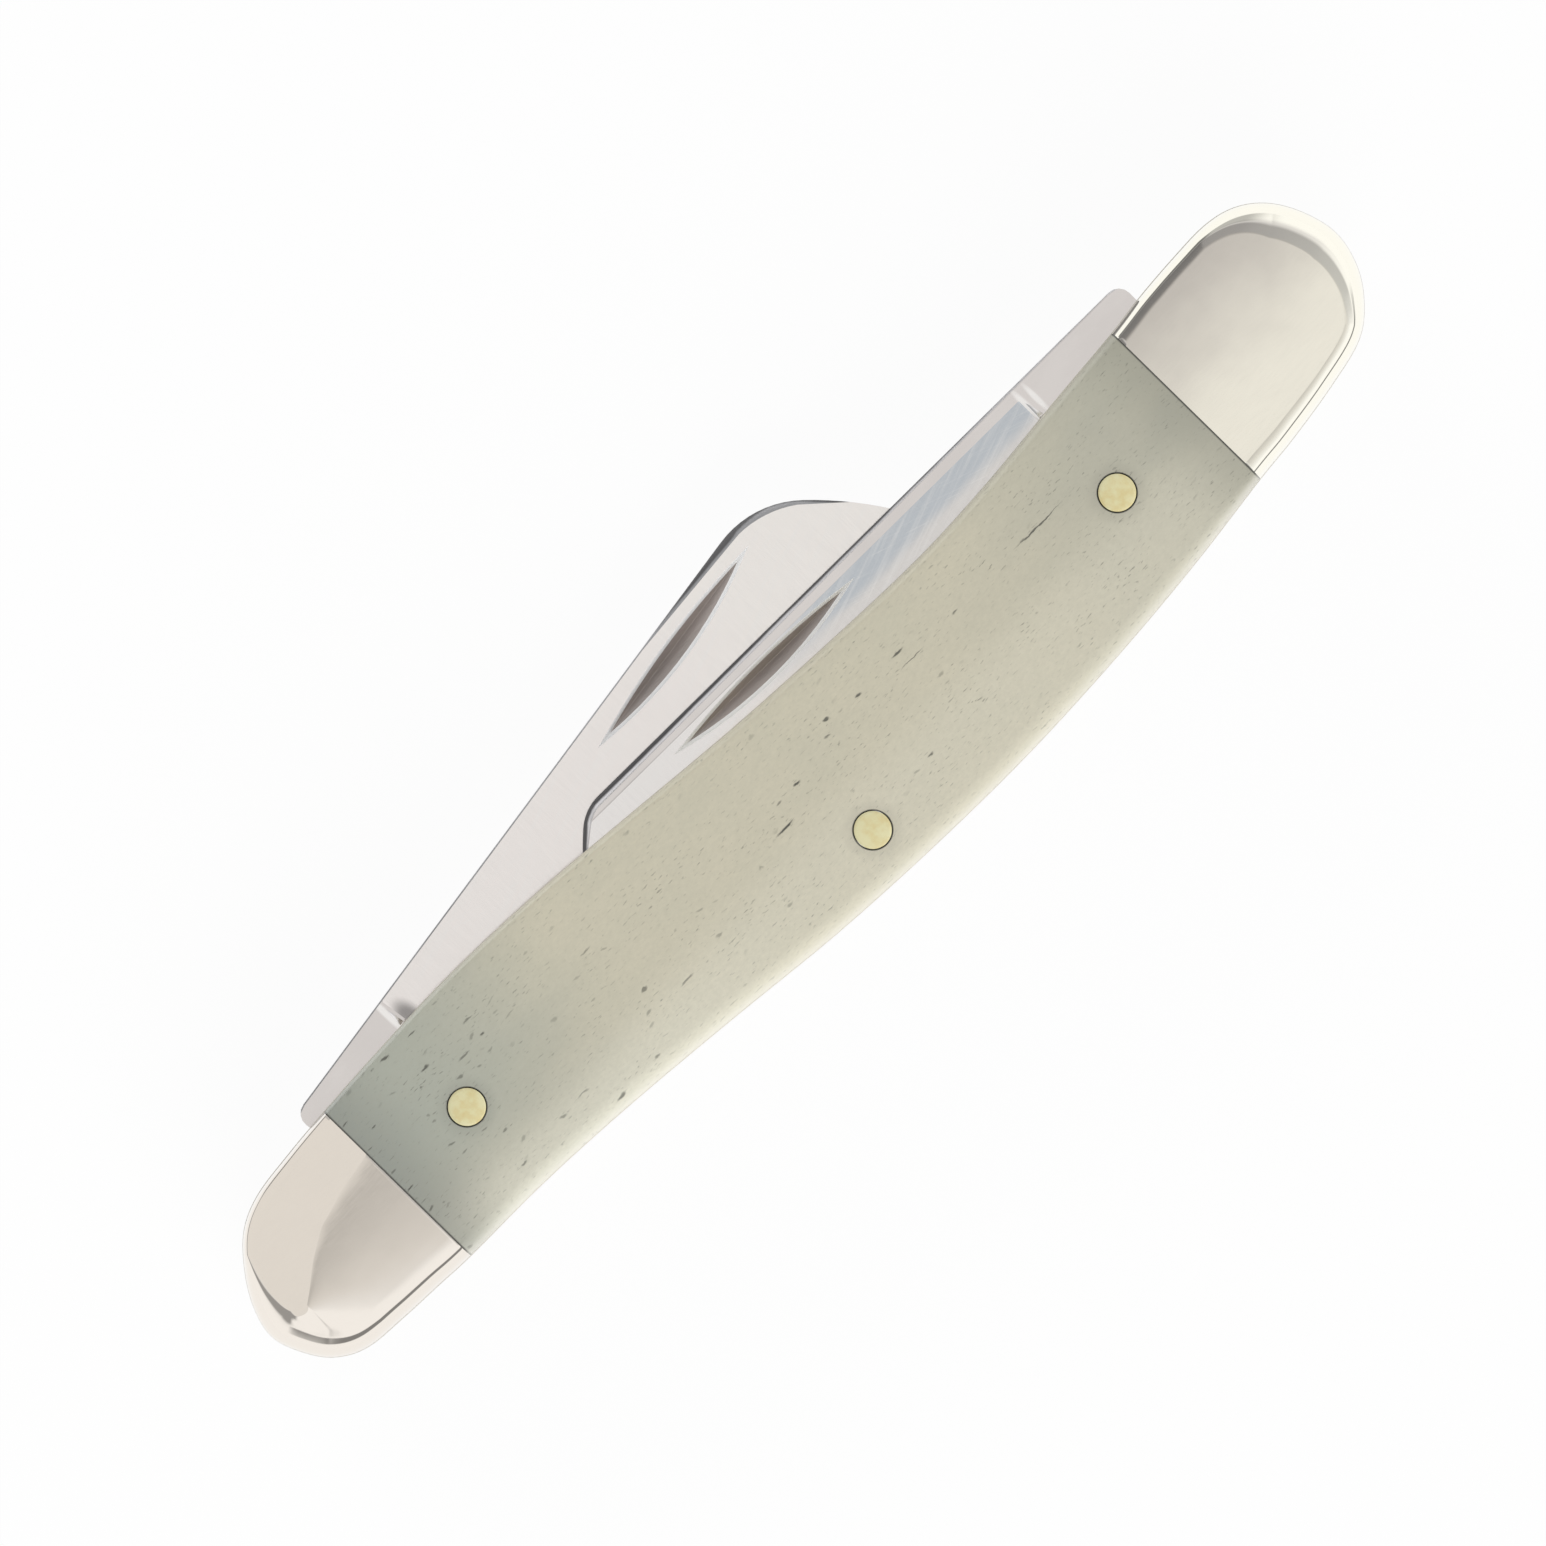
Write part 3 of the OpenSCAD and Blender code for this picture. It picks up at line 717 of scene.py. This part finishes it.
def polished_steel():
    """Mirror-polished flats of a blade, with a little haze and a painted glint at each plunge."""
    material, shader = new_material("polished_steel")
    haze = shader.noise(shader.place((2, 1, 1)), 2.5, 4.0)
    colour = shader.mix(shader.ease(haze, 0.3, 0.7), seen(226, 222, 221), seen(234, 230, 229))
    # Painted glints beside the plunges
    for glint in GLINTS:
        colour = shader.mix(shader.spot(shader.place(), *glint), colour, seen(255, 254, 254))
    rough = shader.ranged(haze, 0.3, 0.7, 0.07, 0.12)
    relief = shader.bump(haze, 0.003)
    shader.surface(Base_Color=colour, Metallic=1.0, Roughness=rough, Normal=relief)
    return material


def ground_steel(name, bright, dull, fade, plunge_shade):
    """A blade's ground face. It turns to a second colour between two places along X; painted light
    makes it paler towards the scale, and painted shade darkens its plunge corner.
    """
    material, shader = new_material(name)
    place = shader.place()
    x, y = shader.axes(place)[:2]
    grain = shader.noise(shader.place((0.16, 3.0, 1)), 0.5, 5.0)
    cloud = shader.noise(shader.place((3, 1, 1)), 1.6, 4.0)
    along = shader.math("ADD", x, shader.math("MULTIPLY", cloud, 4.0))
    colour = shader.mix(shader.ease(along, *fade), bright, dull)
    # Painted light: the face is paler towards the scale, below a wavy line
    low = shader.ease(shader.math("ADD", y, shader.math("MULTIPLY", cloud, 0.6)), 6.3, 5.3)
    colour = shader.stain(colour, low, 0.7, seen(246, 241, 237))
    streak = shader.noise(shader.turned_place(STREAK_TURN, (6.0, 0.22, 1)), 1.0, 3.0)
    colour = shader.stain(colour, shader.ease(streak, 0.4, 0.8), 0.35, seen(250, 250, 250))
    scratch = shader.noise(shader.turned_place(-STREAK_TURN, (4.0, 0.06, 1)), 1.0, 2.0)
    colour = shader.stain(colour, shader.ease(scratch, 0.6, 0.7), 0.25, seen(250, 250, 250))
    # Painted shade in the plunge corner
    colour = shader.stain(colour, shader.spot(place, *plunge_shade), 0.75, seen(120, 118, 118))
    rough = shader.ranged(grain, 0.3, 0.7, 0.08, 0.13)
    relief = shader.bump(grain, 0.001, Normal=shader.levelled())
    shader.surface(Base_Color=colour, Metallic=1.0, Roughness=rough, Normal=relief)
    return material


def milled_steel():
    """Inside of the nail nicks: milled and never polished, in dark brownish greys."""
    material, shader = new_material("milled_steel")
    lines = shader.noise(shader.place((5, 0.12, 0.12)), 0.5, 4.0)
    cloud = shader.noise(shader.place((3, 1, 1)), 2.0)
    colour = shader.mix(lines, seen(150, 141, 136), seen(196, 187, 182))
    colour = shader.mix(shader.ease(cloud, 0.35, 0.65), colour, seen(186, 176, 171))
    relief = shader.bump(lines, 0.008)
    shader.surface(Base_Color=colour, Metallic=0.5, Roughness=0.42, Normal=relief)
    return material


# Bevels, painted with shade: height of each blade's middle, and the distances from it between which
# the painted dark turns to pale.
# Along X that turn moves away from the middle, between the first two values and by the third.
SPEY_MIDDLE = 7.45
SHEEPSFOOT_MIDDLE = 4.65
BEVEL_FADE = (0.86, 1.0)
SPEY_SHIFTS = [(-9.0, 34.0, 0.12)]
SHEEPSFOOT_SHIFTS = [(8.0, -20.0, 0.12), (8.5, 11.5, -0.24)]


def bevel_steel(name, middle, shifts, dark, light):
    """The bevel along a blade's back, painted with shade: dark at its outer edge, and paler towards
    the face.
    """
    material, shader = new_material(name)
    x, _, z = shader.axes(shader.place())[:3]
    from_middle = shader.math("ABSOLUTE", shader.math("SUBTRACT", z, middle))
    for start, end, shift in shifts:
        from_middle = shader.math("SUBTRACT", from_middle, shader.ranged(x, start, end, 0.0, shift))
    worn = shader.noise(shader.place((4, 1, 1)), 0.8, 4.0)
    wander = shader.ranged(worn, 0.3, 0.7, -0.02, 0.02)
    near_face = shader.ease(shader.math("ADD", from_middle, wander), *BEVEL_FADE)
    # Painted shade: dark at the bevel's outer edge
    colour = shader.mix(near_face, dark, light)
    shader.surface(Base_Color=colour, Metallic=0.2, Roughness=0.4, Normal=shader.bump(worn, 0.002))
    return material


def painted_rim_highlight():
    """The broken edge round a nail nick, with a painted highlight: near white and barely metallic.
    """
    material, shader = new_material("painted_rim_highlight")
    worn = shader.noise(shader.place((4, 1, 1)), 0.8, 4.0)
    # Painted highlight: near white, barely metallic
    colour = shader.mix(shader.ease(worn, 0.3, 0.7), seen(250, 250, 250), seen(255, 255, 255))
    shader.surface(Base_Color=colour, Metallic=0.1, Roughness=0.3, Normal=shader.bump(worn, 0.002))
    return material


def brass():
    """Brass pin ends, polished with the scale, with a little tarnish."""
    material, shader = new_material("brass")
    cloud = shader.noise(shader.place(), 0.9, 3.0)
    colour = shader.mix(shader.ease(cloud, 0.4, 0.75), seen(255, 249, 202), seen(246, 230, 170))
    shader.surface(Base_Color=colour, Metallic=0.85, Roughness=0.38,
                   Normal=shader.bump(shader.noise(shader.place(), 0.25), 0.006))
    return material


# Bone: long pores and cracks, each (x, y, half length, half width, darkness)
BONE_MARKS = [
    (-28.6, 6.35, 0.45, 0.11, 0.9), (-26.4, 6.27, 0.42, 0.08, 0.8), (-29.6, 6.46, 0.2, 0.07, 0.5),
    (-24.1, 6.57, 0.3, 0.07, 0.4), (-33.1, 5.27, 0.32, 0.08, 0.9), (-32.0, 3.93, 0.25, 0.09, 0.8),
    (-27.3, 4.18, 0.42, 0.12, 0.9), (-26.6, 4.93, 0.4, 0.07, 0.3), (-23.4, 4.38, 0.5, 0.08, 0.6),
    (-21.6, 4.25, 0.5, 0.07, 0.3), (-28.3, 3.63, 0.12, 0.09, 0.6), (-25.1, 3.04, 0.6, 0.09, 0.65),
    (-23.4, 3.18, 0.22, 0.1, 0.8), (-21.9, 3.56, 0.25, 0.07, 0.3), (-33.1, 3.22, 0.25, 0.07, 0.6),
    (-21.4, 2.85, 0.5, 0.07, 0.35), (-26.2, 2.33, 0.35, 0.08, 0.6), (-24.9, 2.0, 0.2, 0.1, 0.45),
    (-29.2, 2.08, 0.15, 0.12, 0.4), (-29.2, 1.54, 0.2, 0.12, 0.45), (-33.1, 1.2, 0.3, 0.08, 0.6),
    (-15.5, 2.24, 0.55, 0.08, 0.5), (-14.6, 1.54, 0.3, 0.07, 0.35), (-17.0, 1.44, 0.4, 0.07, 0.3),
    (-18.1, 4.8, 0.25, 0.08, 0.3), (-33.1, -0.2, 0.35, 0.08, 0.9), (-33.1, -1.3, 0.3, 0.06, 0.5),
    (-29.2, -1.0, 0.3, 0.09, 0.5), (-27.4, -0.9, 0.3, 0.09, 0.5), (-26.6, -1.9, 0.25, 0.1, 0.6),
    (-33.1, -2.0, 0.3, 0.08, 0.7), (-33.1, -5.3, 0.25, 0.08, 0.5), (-21.7, -3.7, 0.6, 0.09, 0.5),
    (-12.4, -3.4, 0.7, 0.08, 0.6), (-20.2, -5.5, 0.5, 0.13, 0.8), (-1.7, -1.2, 0.95, 0.13, 1.0),
    (0.7, 0.17, 0.36, 0.12, 1.0), (-0.9, 0.13, 0.3, 0.09, 0.6), (4.7, 1.64, 0.3, 0.12, 0.9),
    (7.1, 1.27, 0.32, 0.12, 0.9), (10.6, 1.36, 0.6, 0.11, 0.9), (11.0, 0.5, 1.2, 0.06, 0.7),
    (14.8, 0.65, 0.3, 0.08, 0.7), (6.3, -4.5, 0.3, 0.08, 0.35), (7.6, -4.34, 0.3, 0.09, 0.8),
    (22.0, 0.7, 2.4, 0.08, 0.9),
]


def bone():
    """Smooth polished bone, warm along the middle, with dark pores; painted shade greys it towards
    the ends and darkens the joints, and painted light pales its lower side and back rounding.
    """
    material, shader = new_material("bone")
    x, y = shader.axes(shader.place())[:2]
    cloud = shader.noise(shader.place((2.5, 1, 1)), 5.0)
    colour = bone_tone(shader, x, y, cloud)
    fine = shader.noise(shader.place((1.8, 1, 1)), 0.2, 3.0, 0.7)
    colour = shader.mix(shader.ranged(fine, 0.3, 0.7, 0.0, 0.2), colour, seen(160, 158, 142))
    dirt = bone_pores(shader)
    for layer in (bone_dashes(shader), bone_marks(shader)):
        dirt = shader.math("MAXIMUM", dirt, layer)
    colour = shader.mix(dirt, colour, seen(86, 86, 78))
    # Painted shade in the joints and round the pins' holes, and a faint halo of dirt round the pins
    colour = shader.mix(joint_shade_and_dirt(shader, x), colour, seen(74, 74, 69))
    # Painted highlight on the rounding along the back
    colour = shader.mix(bone_back_highlight(shader), colour, seen(240, 237, 226))
    rough = shader.ranged(cloud, 0.3, 0.7, 0.36, 0.46)
    height = shader.math("SUBTRACT", shader.math("MULTIPLY", fine, 0.25), dirt)
    shader.surface(Base_Color=colour, Roughness=rough, Normal=shader.bump(height, 0.02))
    return material


def bone_tone(shader, x, y, cloud):
    """The bone's broad colour: warm in the middle, and greener grey over the upper side towards the
    tail. Painted light makes it paler below, and painted shade greys it towards both ends and
    darkens it near the joints.
    """
    wander = shader.ranged(cloud, 0.3, 0.7, -4.0, 4.0)
    # Painted shade: greyer towards both ends
    far = shader.math("ADD", shader.math("ABSOLUTE", shader.math("SUBTRACT", x, 1.0)), wander)
    colour = shader.mix(shader.ease(far, 12.0, 36.0), seen(206, 200, 179), seen(178, 177, 163))
    tone = shader.noise(shader.place((1.5, 1, 1), (9, 4, 0)), 3.0)
    colour = shader.mix(shader.ranged(tone, 0.35, 0.7, 0.0, 0.35), colour, seen(194, 191, 172))
    upper_tail = shader.math("MULTIPLY", shader.ease(x, -14.0, -30.0), shader.ease(y, -5.0, 2.0))
    colour = shader.stain(colour, upper_tail, 0.6, seen(160, 167, 158))
    # Painted light: paler towards the lower side
    lower = shader.math("MULTIPLY", shader.ease(x, 0.0, -24.0), shader.ease(y, -2.0, -5.5))
    colour = shader.stain(colour, lower, 0.55, seen(222, 221, 206))
    colour = shader.stain(colour, shader.ease(y, -0.5, -4.5), 0.33, seen(226, 222, 204))
    # Painted shade: darker still close to the joints with the bolsters
    near_tail = shader.ease(x, TAIL_JOINT + 5.0, TAIL_JOINT - 0.8)
    near_head = shader.ease(x, HEAD_JOINT - 5.0, HEAD_JOINT + 1.0)
    colour = shader.stain(colour, near_tail, 0.6, seen(126, 130, 126))
    return shader.stain(colour, near_head, 0.55, seen(148, 147, 134))


def bone_back_highlight(shader):
    """Painted highlight: paler bone on steep faces of the rounding that turn towards the back."""
    direction = shader.axes(shader.node("NewGeometry").outputs["Normal"])
    steep = shader.ease(shader.math("ABSOLUTE", direction[2]), 0.75, 0.2)
    back = shader.ease(direction[1], 0.2, -0.3)
    return shader.math("MULTIPLY", shader.math("MULTIPLY", steep, back), 0.35)


def bone_pores(shader):
    """Small pores, drawn out along the bone. They crowd in patches and near the tail end."""
    bend = shader.node("CombineXYZ", {"Y": shader.noise(shader.place(), 1.2)}).outputs[0]
    shifted = shader.vector("ADD", shader.place((2.4, 0.85, 1)), bend)
    cells = shader.node("TexVoronoi", {"Vector": shifted, "Scale": 1.15})
    spots = shader.ease(cells.outputs["Distance"], 0.16, 0.06)
    tail = shader.ranged(shader.axes(shader.place())[0], -33.0, 6.0, 0.1, -0.02)
    patch = shader.math("ADD", shader.noise(shader.place((1.5, 1, 1), (3, 7, 0)), 3.0), tail)
    depth = shader.ranged(shader.axes(cells.outputs["Color"])[0], 0.0, 1.0, 0.1, 0.7)
    crowded = shader.math("MULTIPLY", spots, shader.ease(patch, 0.45, 0.62))
    return shader.math("MULTIPLY", crowded, depth)


def bone_dashes(shader):
    """Faint short dashes all over, the openings of the bone's fine canals."""
    dash = shader.noise(shader.place((0.5, 0.11, 1)), 1.0, 1.0)
    patch = shader.noise(shader.place((1.5, 1, 1), (5, 2, 0)), 2.4)
    depth = shader.ranged(patch, 0.35, 0.65, 0.08, 0.5)
    return shader.math("MULTIPLY", shader.ease(dash, 0.63, 0.74), depth)


def bone_marks(shader):
    """The longer pores and cracks, with wandering edges."""
    rough = shader.noise(shader.place((2.0, 1, 1)), 0.5, 3.0)
    wander = shader.ranged(rough, 0.25, 0.75, -0.12, 0.12)
    wobble = shader.node("CombineXYZ", {"Y": wander}).outputs[0]
    place = shader.vector("ADD", shader.place(), wobble)
    total = 0.0
    for x, y, half_length, half_width, darkness in BONE_MARKS:
        spot = shader.spot(place, (x, y), (half_length, half_width))
        total = shader.math("MAXIMUM", shader.math("MULTIPLY", spot, darkness), total)
    return total


def joint_shade_and_dirt(shader, x):
    """Painted shade: dark lines in the joints with the bolsters and thin dark rings round the pins'
    holes, with a faint halo of dirt round the pins.
    """
    # Painted shade in the joints with the bolsters
    line = shader.math("MAXIMUM", shader.ease(x, TAIL_JOINT + 0.16, TAIL_JOINT + 0.04),
                       shader.ease(x, HEAD_JOINT - 0.16, HEAD_JOINT - 0.04))
    place = shader.place()
    for pin in PINS[2:]:
        low, high = box_mm(pin)
        radius = (high[0] - low[0]) / 2 + PIN_GAP
        away = shader.vector("SUBTRACT", place, (*pin_axis(pin), 0))
        flat = shader.vector("LENGTH", shader.vector("MULTIPLY", away, (1, 1, 0)))
        # A faint halo of dirt round each pin
        halo = shader.math("MULTIPLY", shader.ease(flat, radius + 0.9, radius), 0.12)
        # Painted shade: a thin dark ring round the hole's gap
        ring = shader.math("MULTIPLY", shader.ease(flat, radius + 0.08, radius + 0.01), 0.8)
        line = shader.math("MAXIMUM", line, shader.math("MAXIMUM", halo, ring))
    return line


def dress_handle():
    """Everything that stays with the handle."""
    metal = nickel_silver()
    dress_covers(metal, bone())
    for end in ("head", "tail"):
        sunk_pin(end + "_pivot_pin", metal)
    yellow = brass()
    for side in ("front", "rear"):
        for end in ("head", "tail"):
            domed_pin(side + "_" + end + "_scale_pin", yellow)
    domed_pin("centre_pin", yellow)
    repaint(["front_liner", "centre_liner", "rear_liner"], liner_metal())
    for spring in ("front_spring", "rear_spring"):
        dress_spring(spring, spring_steel())


def dress_blades():
    """Both blades, with their materials in the order of their finishes."""
    flat, nick, rim = polished_steel(), milled_steel(), painted_rim_highlight()
    spey = ground_steel("spey_ground_steel", seen(250, 248, 248), seen(205, 212, 220), (4.0, 13.0),
                        SPEY_PLUNGE_SHADE)
    bevel = bevel_steel("spey_bevel_steel", SPEY_MIDDLE, SPEY_SHIFTS, seen(70, 69, 70),
                        seen(222, 220, 222))
    dress_blade("spey_blade", "spey", [flat, spey, nick, bevel, rim, bevel])
    sheepsfoot = ground_steel("sheepsfoot_ground_steel", seen(252, 248, 247), seen(254, 251, 249),
                              (0.0, 9.0), SHEEPSFOOT_PLUNGE_SHADE)
    bevel = bevel_steel("sheepsfoot_bevel_steel", SHEEPSFOOT_MIDDLE, SHEEPSFOOT_SHIFTS,
                        seen(90, 89, 90), seen(166, 166, 168))
    dress_blade("sheepsfoot_blade", "sheepsfoot", [flat, sheepsfoot, nick, bevel, rim, bevel])


# The studio. The camera's turn is in degrees, and its field is how much it sees across. The floor's
# side is in metres, and the last value is how much of it looks plain white.

CAMERA_TURN = 45.6
CAMERA_AT = (0.15, 1.66)
CAMERA_HEIGHT = 1200
FIELD = 93.4
FLOOR_SIDE = 6.0
WHITE_SHARE = 0.94

# The light tent that gloss sees: grey level by angle from straight up, in degrees, on its four
# sides and at one corner
TENT = {
    "back": [(0, 0.83), (1.5, 0.83), (2.6, 0.52), (5, 0.62), (8, 0.76), (10.5, 0.88), (12, 1.0),
             (48, 1.0), (51, 0.25), (73, 0.25), (77, 1.0), (90, 1.0)],
    "left": [(0, 0.83), (10, 0.83), (16, 0.35), (38, 0.35), (48, 0.92), (60, 1.0), (90, 1.0)],
    "right": [(0, 0.83), (6, 0.83), (9, 0.55), (32, 0.55), (44, 0.97), (60, 1.0), (90, 1.0)],
    "corner": [(0, 0.83), (6, 0.83), (9, 0.5), (32, 0.5), (44, 0.85), (52, 0.5), (86, 0.5),
               (90, 1.0)],
    "front": [(0, 0.83), (5, 0.83), (9, 0.3), (26, 0.24), (31, 0.6), (36, 0.6), (42, 0.22),
              (84, 0.2), (88, 1.0)],
}
TENT_TOP_TINT = (1.0, 0.98, 0.95)
# All else is lit by an even room and two lamps, which are placed in metres
ROOM_LIGHT = 0.5
KEY = {"at": (-0.45, -0.85, 0.6), "size": 0.9, "watts": 10.0}
FILL = {"at": (0.1, 1.2, 0.32), "size": 0.8, "watts": 8.0}


def add_camera():
    """Straight above, turned so that the knife runs up to the right, through a long lens."""
    data = bpy.data.cameras.new("camera")
    data.sensor_width = 36
    data.lens = data.sensor_width * (CAMERA_HEIGHT - KNIFE_TOP) / FIELD
    data.clip_end = 10
    camera = bpy.data.objects.new("camera", data)
    camera.location = (CAMERA_AT[0] * MM, CAMERA_AT[1] * MM, CAMERA_HEIGHT * MM)
    camera.rotation_euler = (0, 0, -math.radians(CAMERA_TURN))
    bpy.context.scene.collection.objects.link(camera)
    bpy.context.scene.camera = camera


def background_ray(shader):
    """1 for rays that see the background: from the camera, off gloss and through glass."""
    path = shader.node("LightPath")
    either = shader.math("MAXIMUM", path.outputs["Is Camera Ray"], path.outputs["Is Glossy Ray"])
    return shader.math("MAXIMUM", either, path.outputs["Is Transmission Ray"])


def add_floor():
    """A pale floor that looks white and keeps the shadow."""
    half = FLOOR_SIDE / 2 / MM
    corners = [(-half, -half, 0), (half, -half, 0), (half, half, 0), (-half, half, 0)]
    floor = new_piece("floor", corners, [(0, 1, 2, 3)])
    material, shader = new_material("floor_white")
    paper = shader.node("BsdfDiffuse", {"Color": (0.9, 0.9, 0.9, 1)}).outputs[0]
    glow = shader.node("Emission", {"Color": (1, 1, 1, 1), "Strength": 1.0}).outputs[0]
    share = shader.math("MULTIPLY", background_ray(shader), WHITE_SHARE)
    surface = shader.node("MixShader", {0: share, 1: paper, 2: glow}).outputs[0]
    shader.node("OutputMaterial", {"Surface": surface})
    floor.data.materials.append(material)


def tent_ramp(shader, angle, stops):
    ramp = shader.node("ValToRGB", {"Fac": angle})
    elements = ramp.color_ramp.elements
    elements.remove(elements[1])
    for i, (degrees, level) in enumerate(stops):
        element = elements[0] if i == 0 else elements.new(degrees / 90)
        element.color = (level, level, level, 1)
    return ramp.outputs[0]


def add_world():
    """White to the camera. Gloss sees a light tent with a warm grey top, all else an even room."""
    world = bpy.data.worlds.new("studio")
    bpy.context.scene.world = world
    shader = Shader(world)
    way = shader.axes(shader.node("TexCoord").outputs["Generated"])
    angle = shader.math("MULTIPLY", shader.math("ARCCOSINE", way[2]), 2 / math.pi)
    risen = shader.math("MULTIPLY", way[2], way[2])
    level_way = shader.math("SQRT", shader.math("SUBTRACT", 1.0001, risen))
    across = shader.math("DIVIDE", way[0], level_way)
    forward = shader.math("DIVIDE", way[1], level_way)
    side = {name: tent_ramp(shader, angle, stops) for name, stops in TENT.items()}
    level = shader.mix(shader.ease(across, -0.3, 0.3), side["left"], side["right"])
    level = shader.mix(shader.ease(forward, -0.35, -0.75), level, side["back"])
    ahead, to_right = shader.ease(forward, 0.45, 0.75), shader.ease(across, -0.2, 0.2)
    diagonal = shader.math("MULTIPLY", ahead, to_right)
    level = shader.mix(diagonal, level, side["corner"])
    level = shader.mix(shader.ease(forward, 0.955, 0.985), level, side["front"])
    tint = shader.mix(shader.ease(angle, 0.08, 0.12), TENT_TOP_TINT, (1, 1, 1))
    tent_colour = shader.mix(1.0, tint, level, "MULTIPLY")
    path = shader.node("LightPath").outputs
    tent = shader.node("Background", {"Color": tent_colour, "Strength": 1.0}).outputs[0]
    room = shader.node("Background", {"Color": (1, 1, 1, 1), "Strength": ROOM_LIGHT}).outputs[0]
    white = shader.node("Background", {"Color": (1, 1, 1, 1), "Strength": 1.0}).outputs[0]
    light = shader.node("MixShader", {0: path["Is Glossy Ray"], 1: room, 2: tent}).outputs[0]
    surface = shader.node("MixShader", {0: path["Is Camera Ray"], 1: light, 2: white}).outputs[0]
    shader.node("OutputWorld", {"Surface": surface})


def add_lamp(name, at, size, watts):
    """A square soft lamp that faces the object. Only the tent shows in the gloss."""
    data = bpy.data.lights.new(name, "AREA")
    data.size = size
    data.energy = watts
    lamp = bpy.data.objects.new(name, data)
    lamp.location = at
    lamp.rotation_euler = lamp.location.to_track_quat("Z", "Y").to_euler()
    lamp.visible_glossy = False
    bpy.context.scene.collection.objects.link(lamp)


dress_handle()
dress_blades()
add_camera()
add_floor()
add_world()
add_lamp("key", **KEY)
add_lamp("fill", **FILL)
bpy.context.scene.view_settings.view_transform = "Standard"
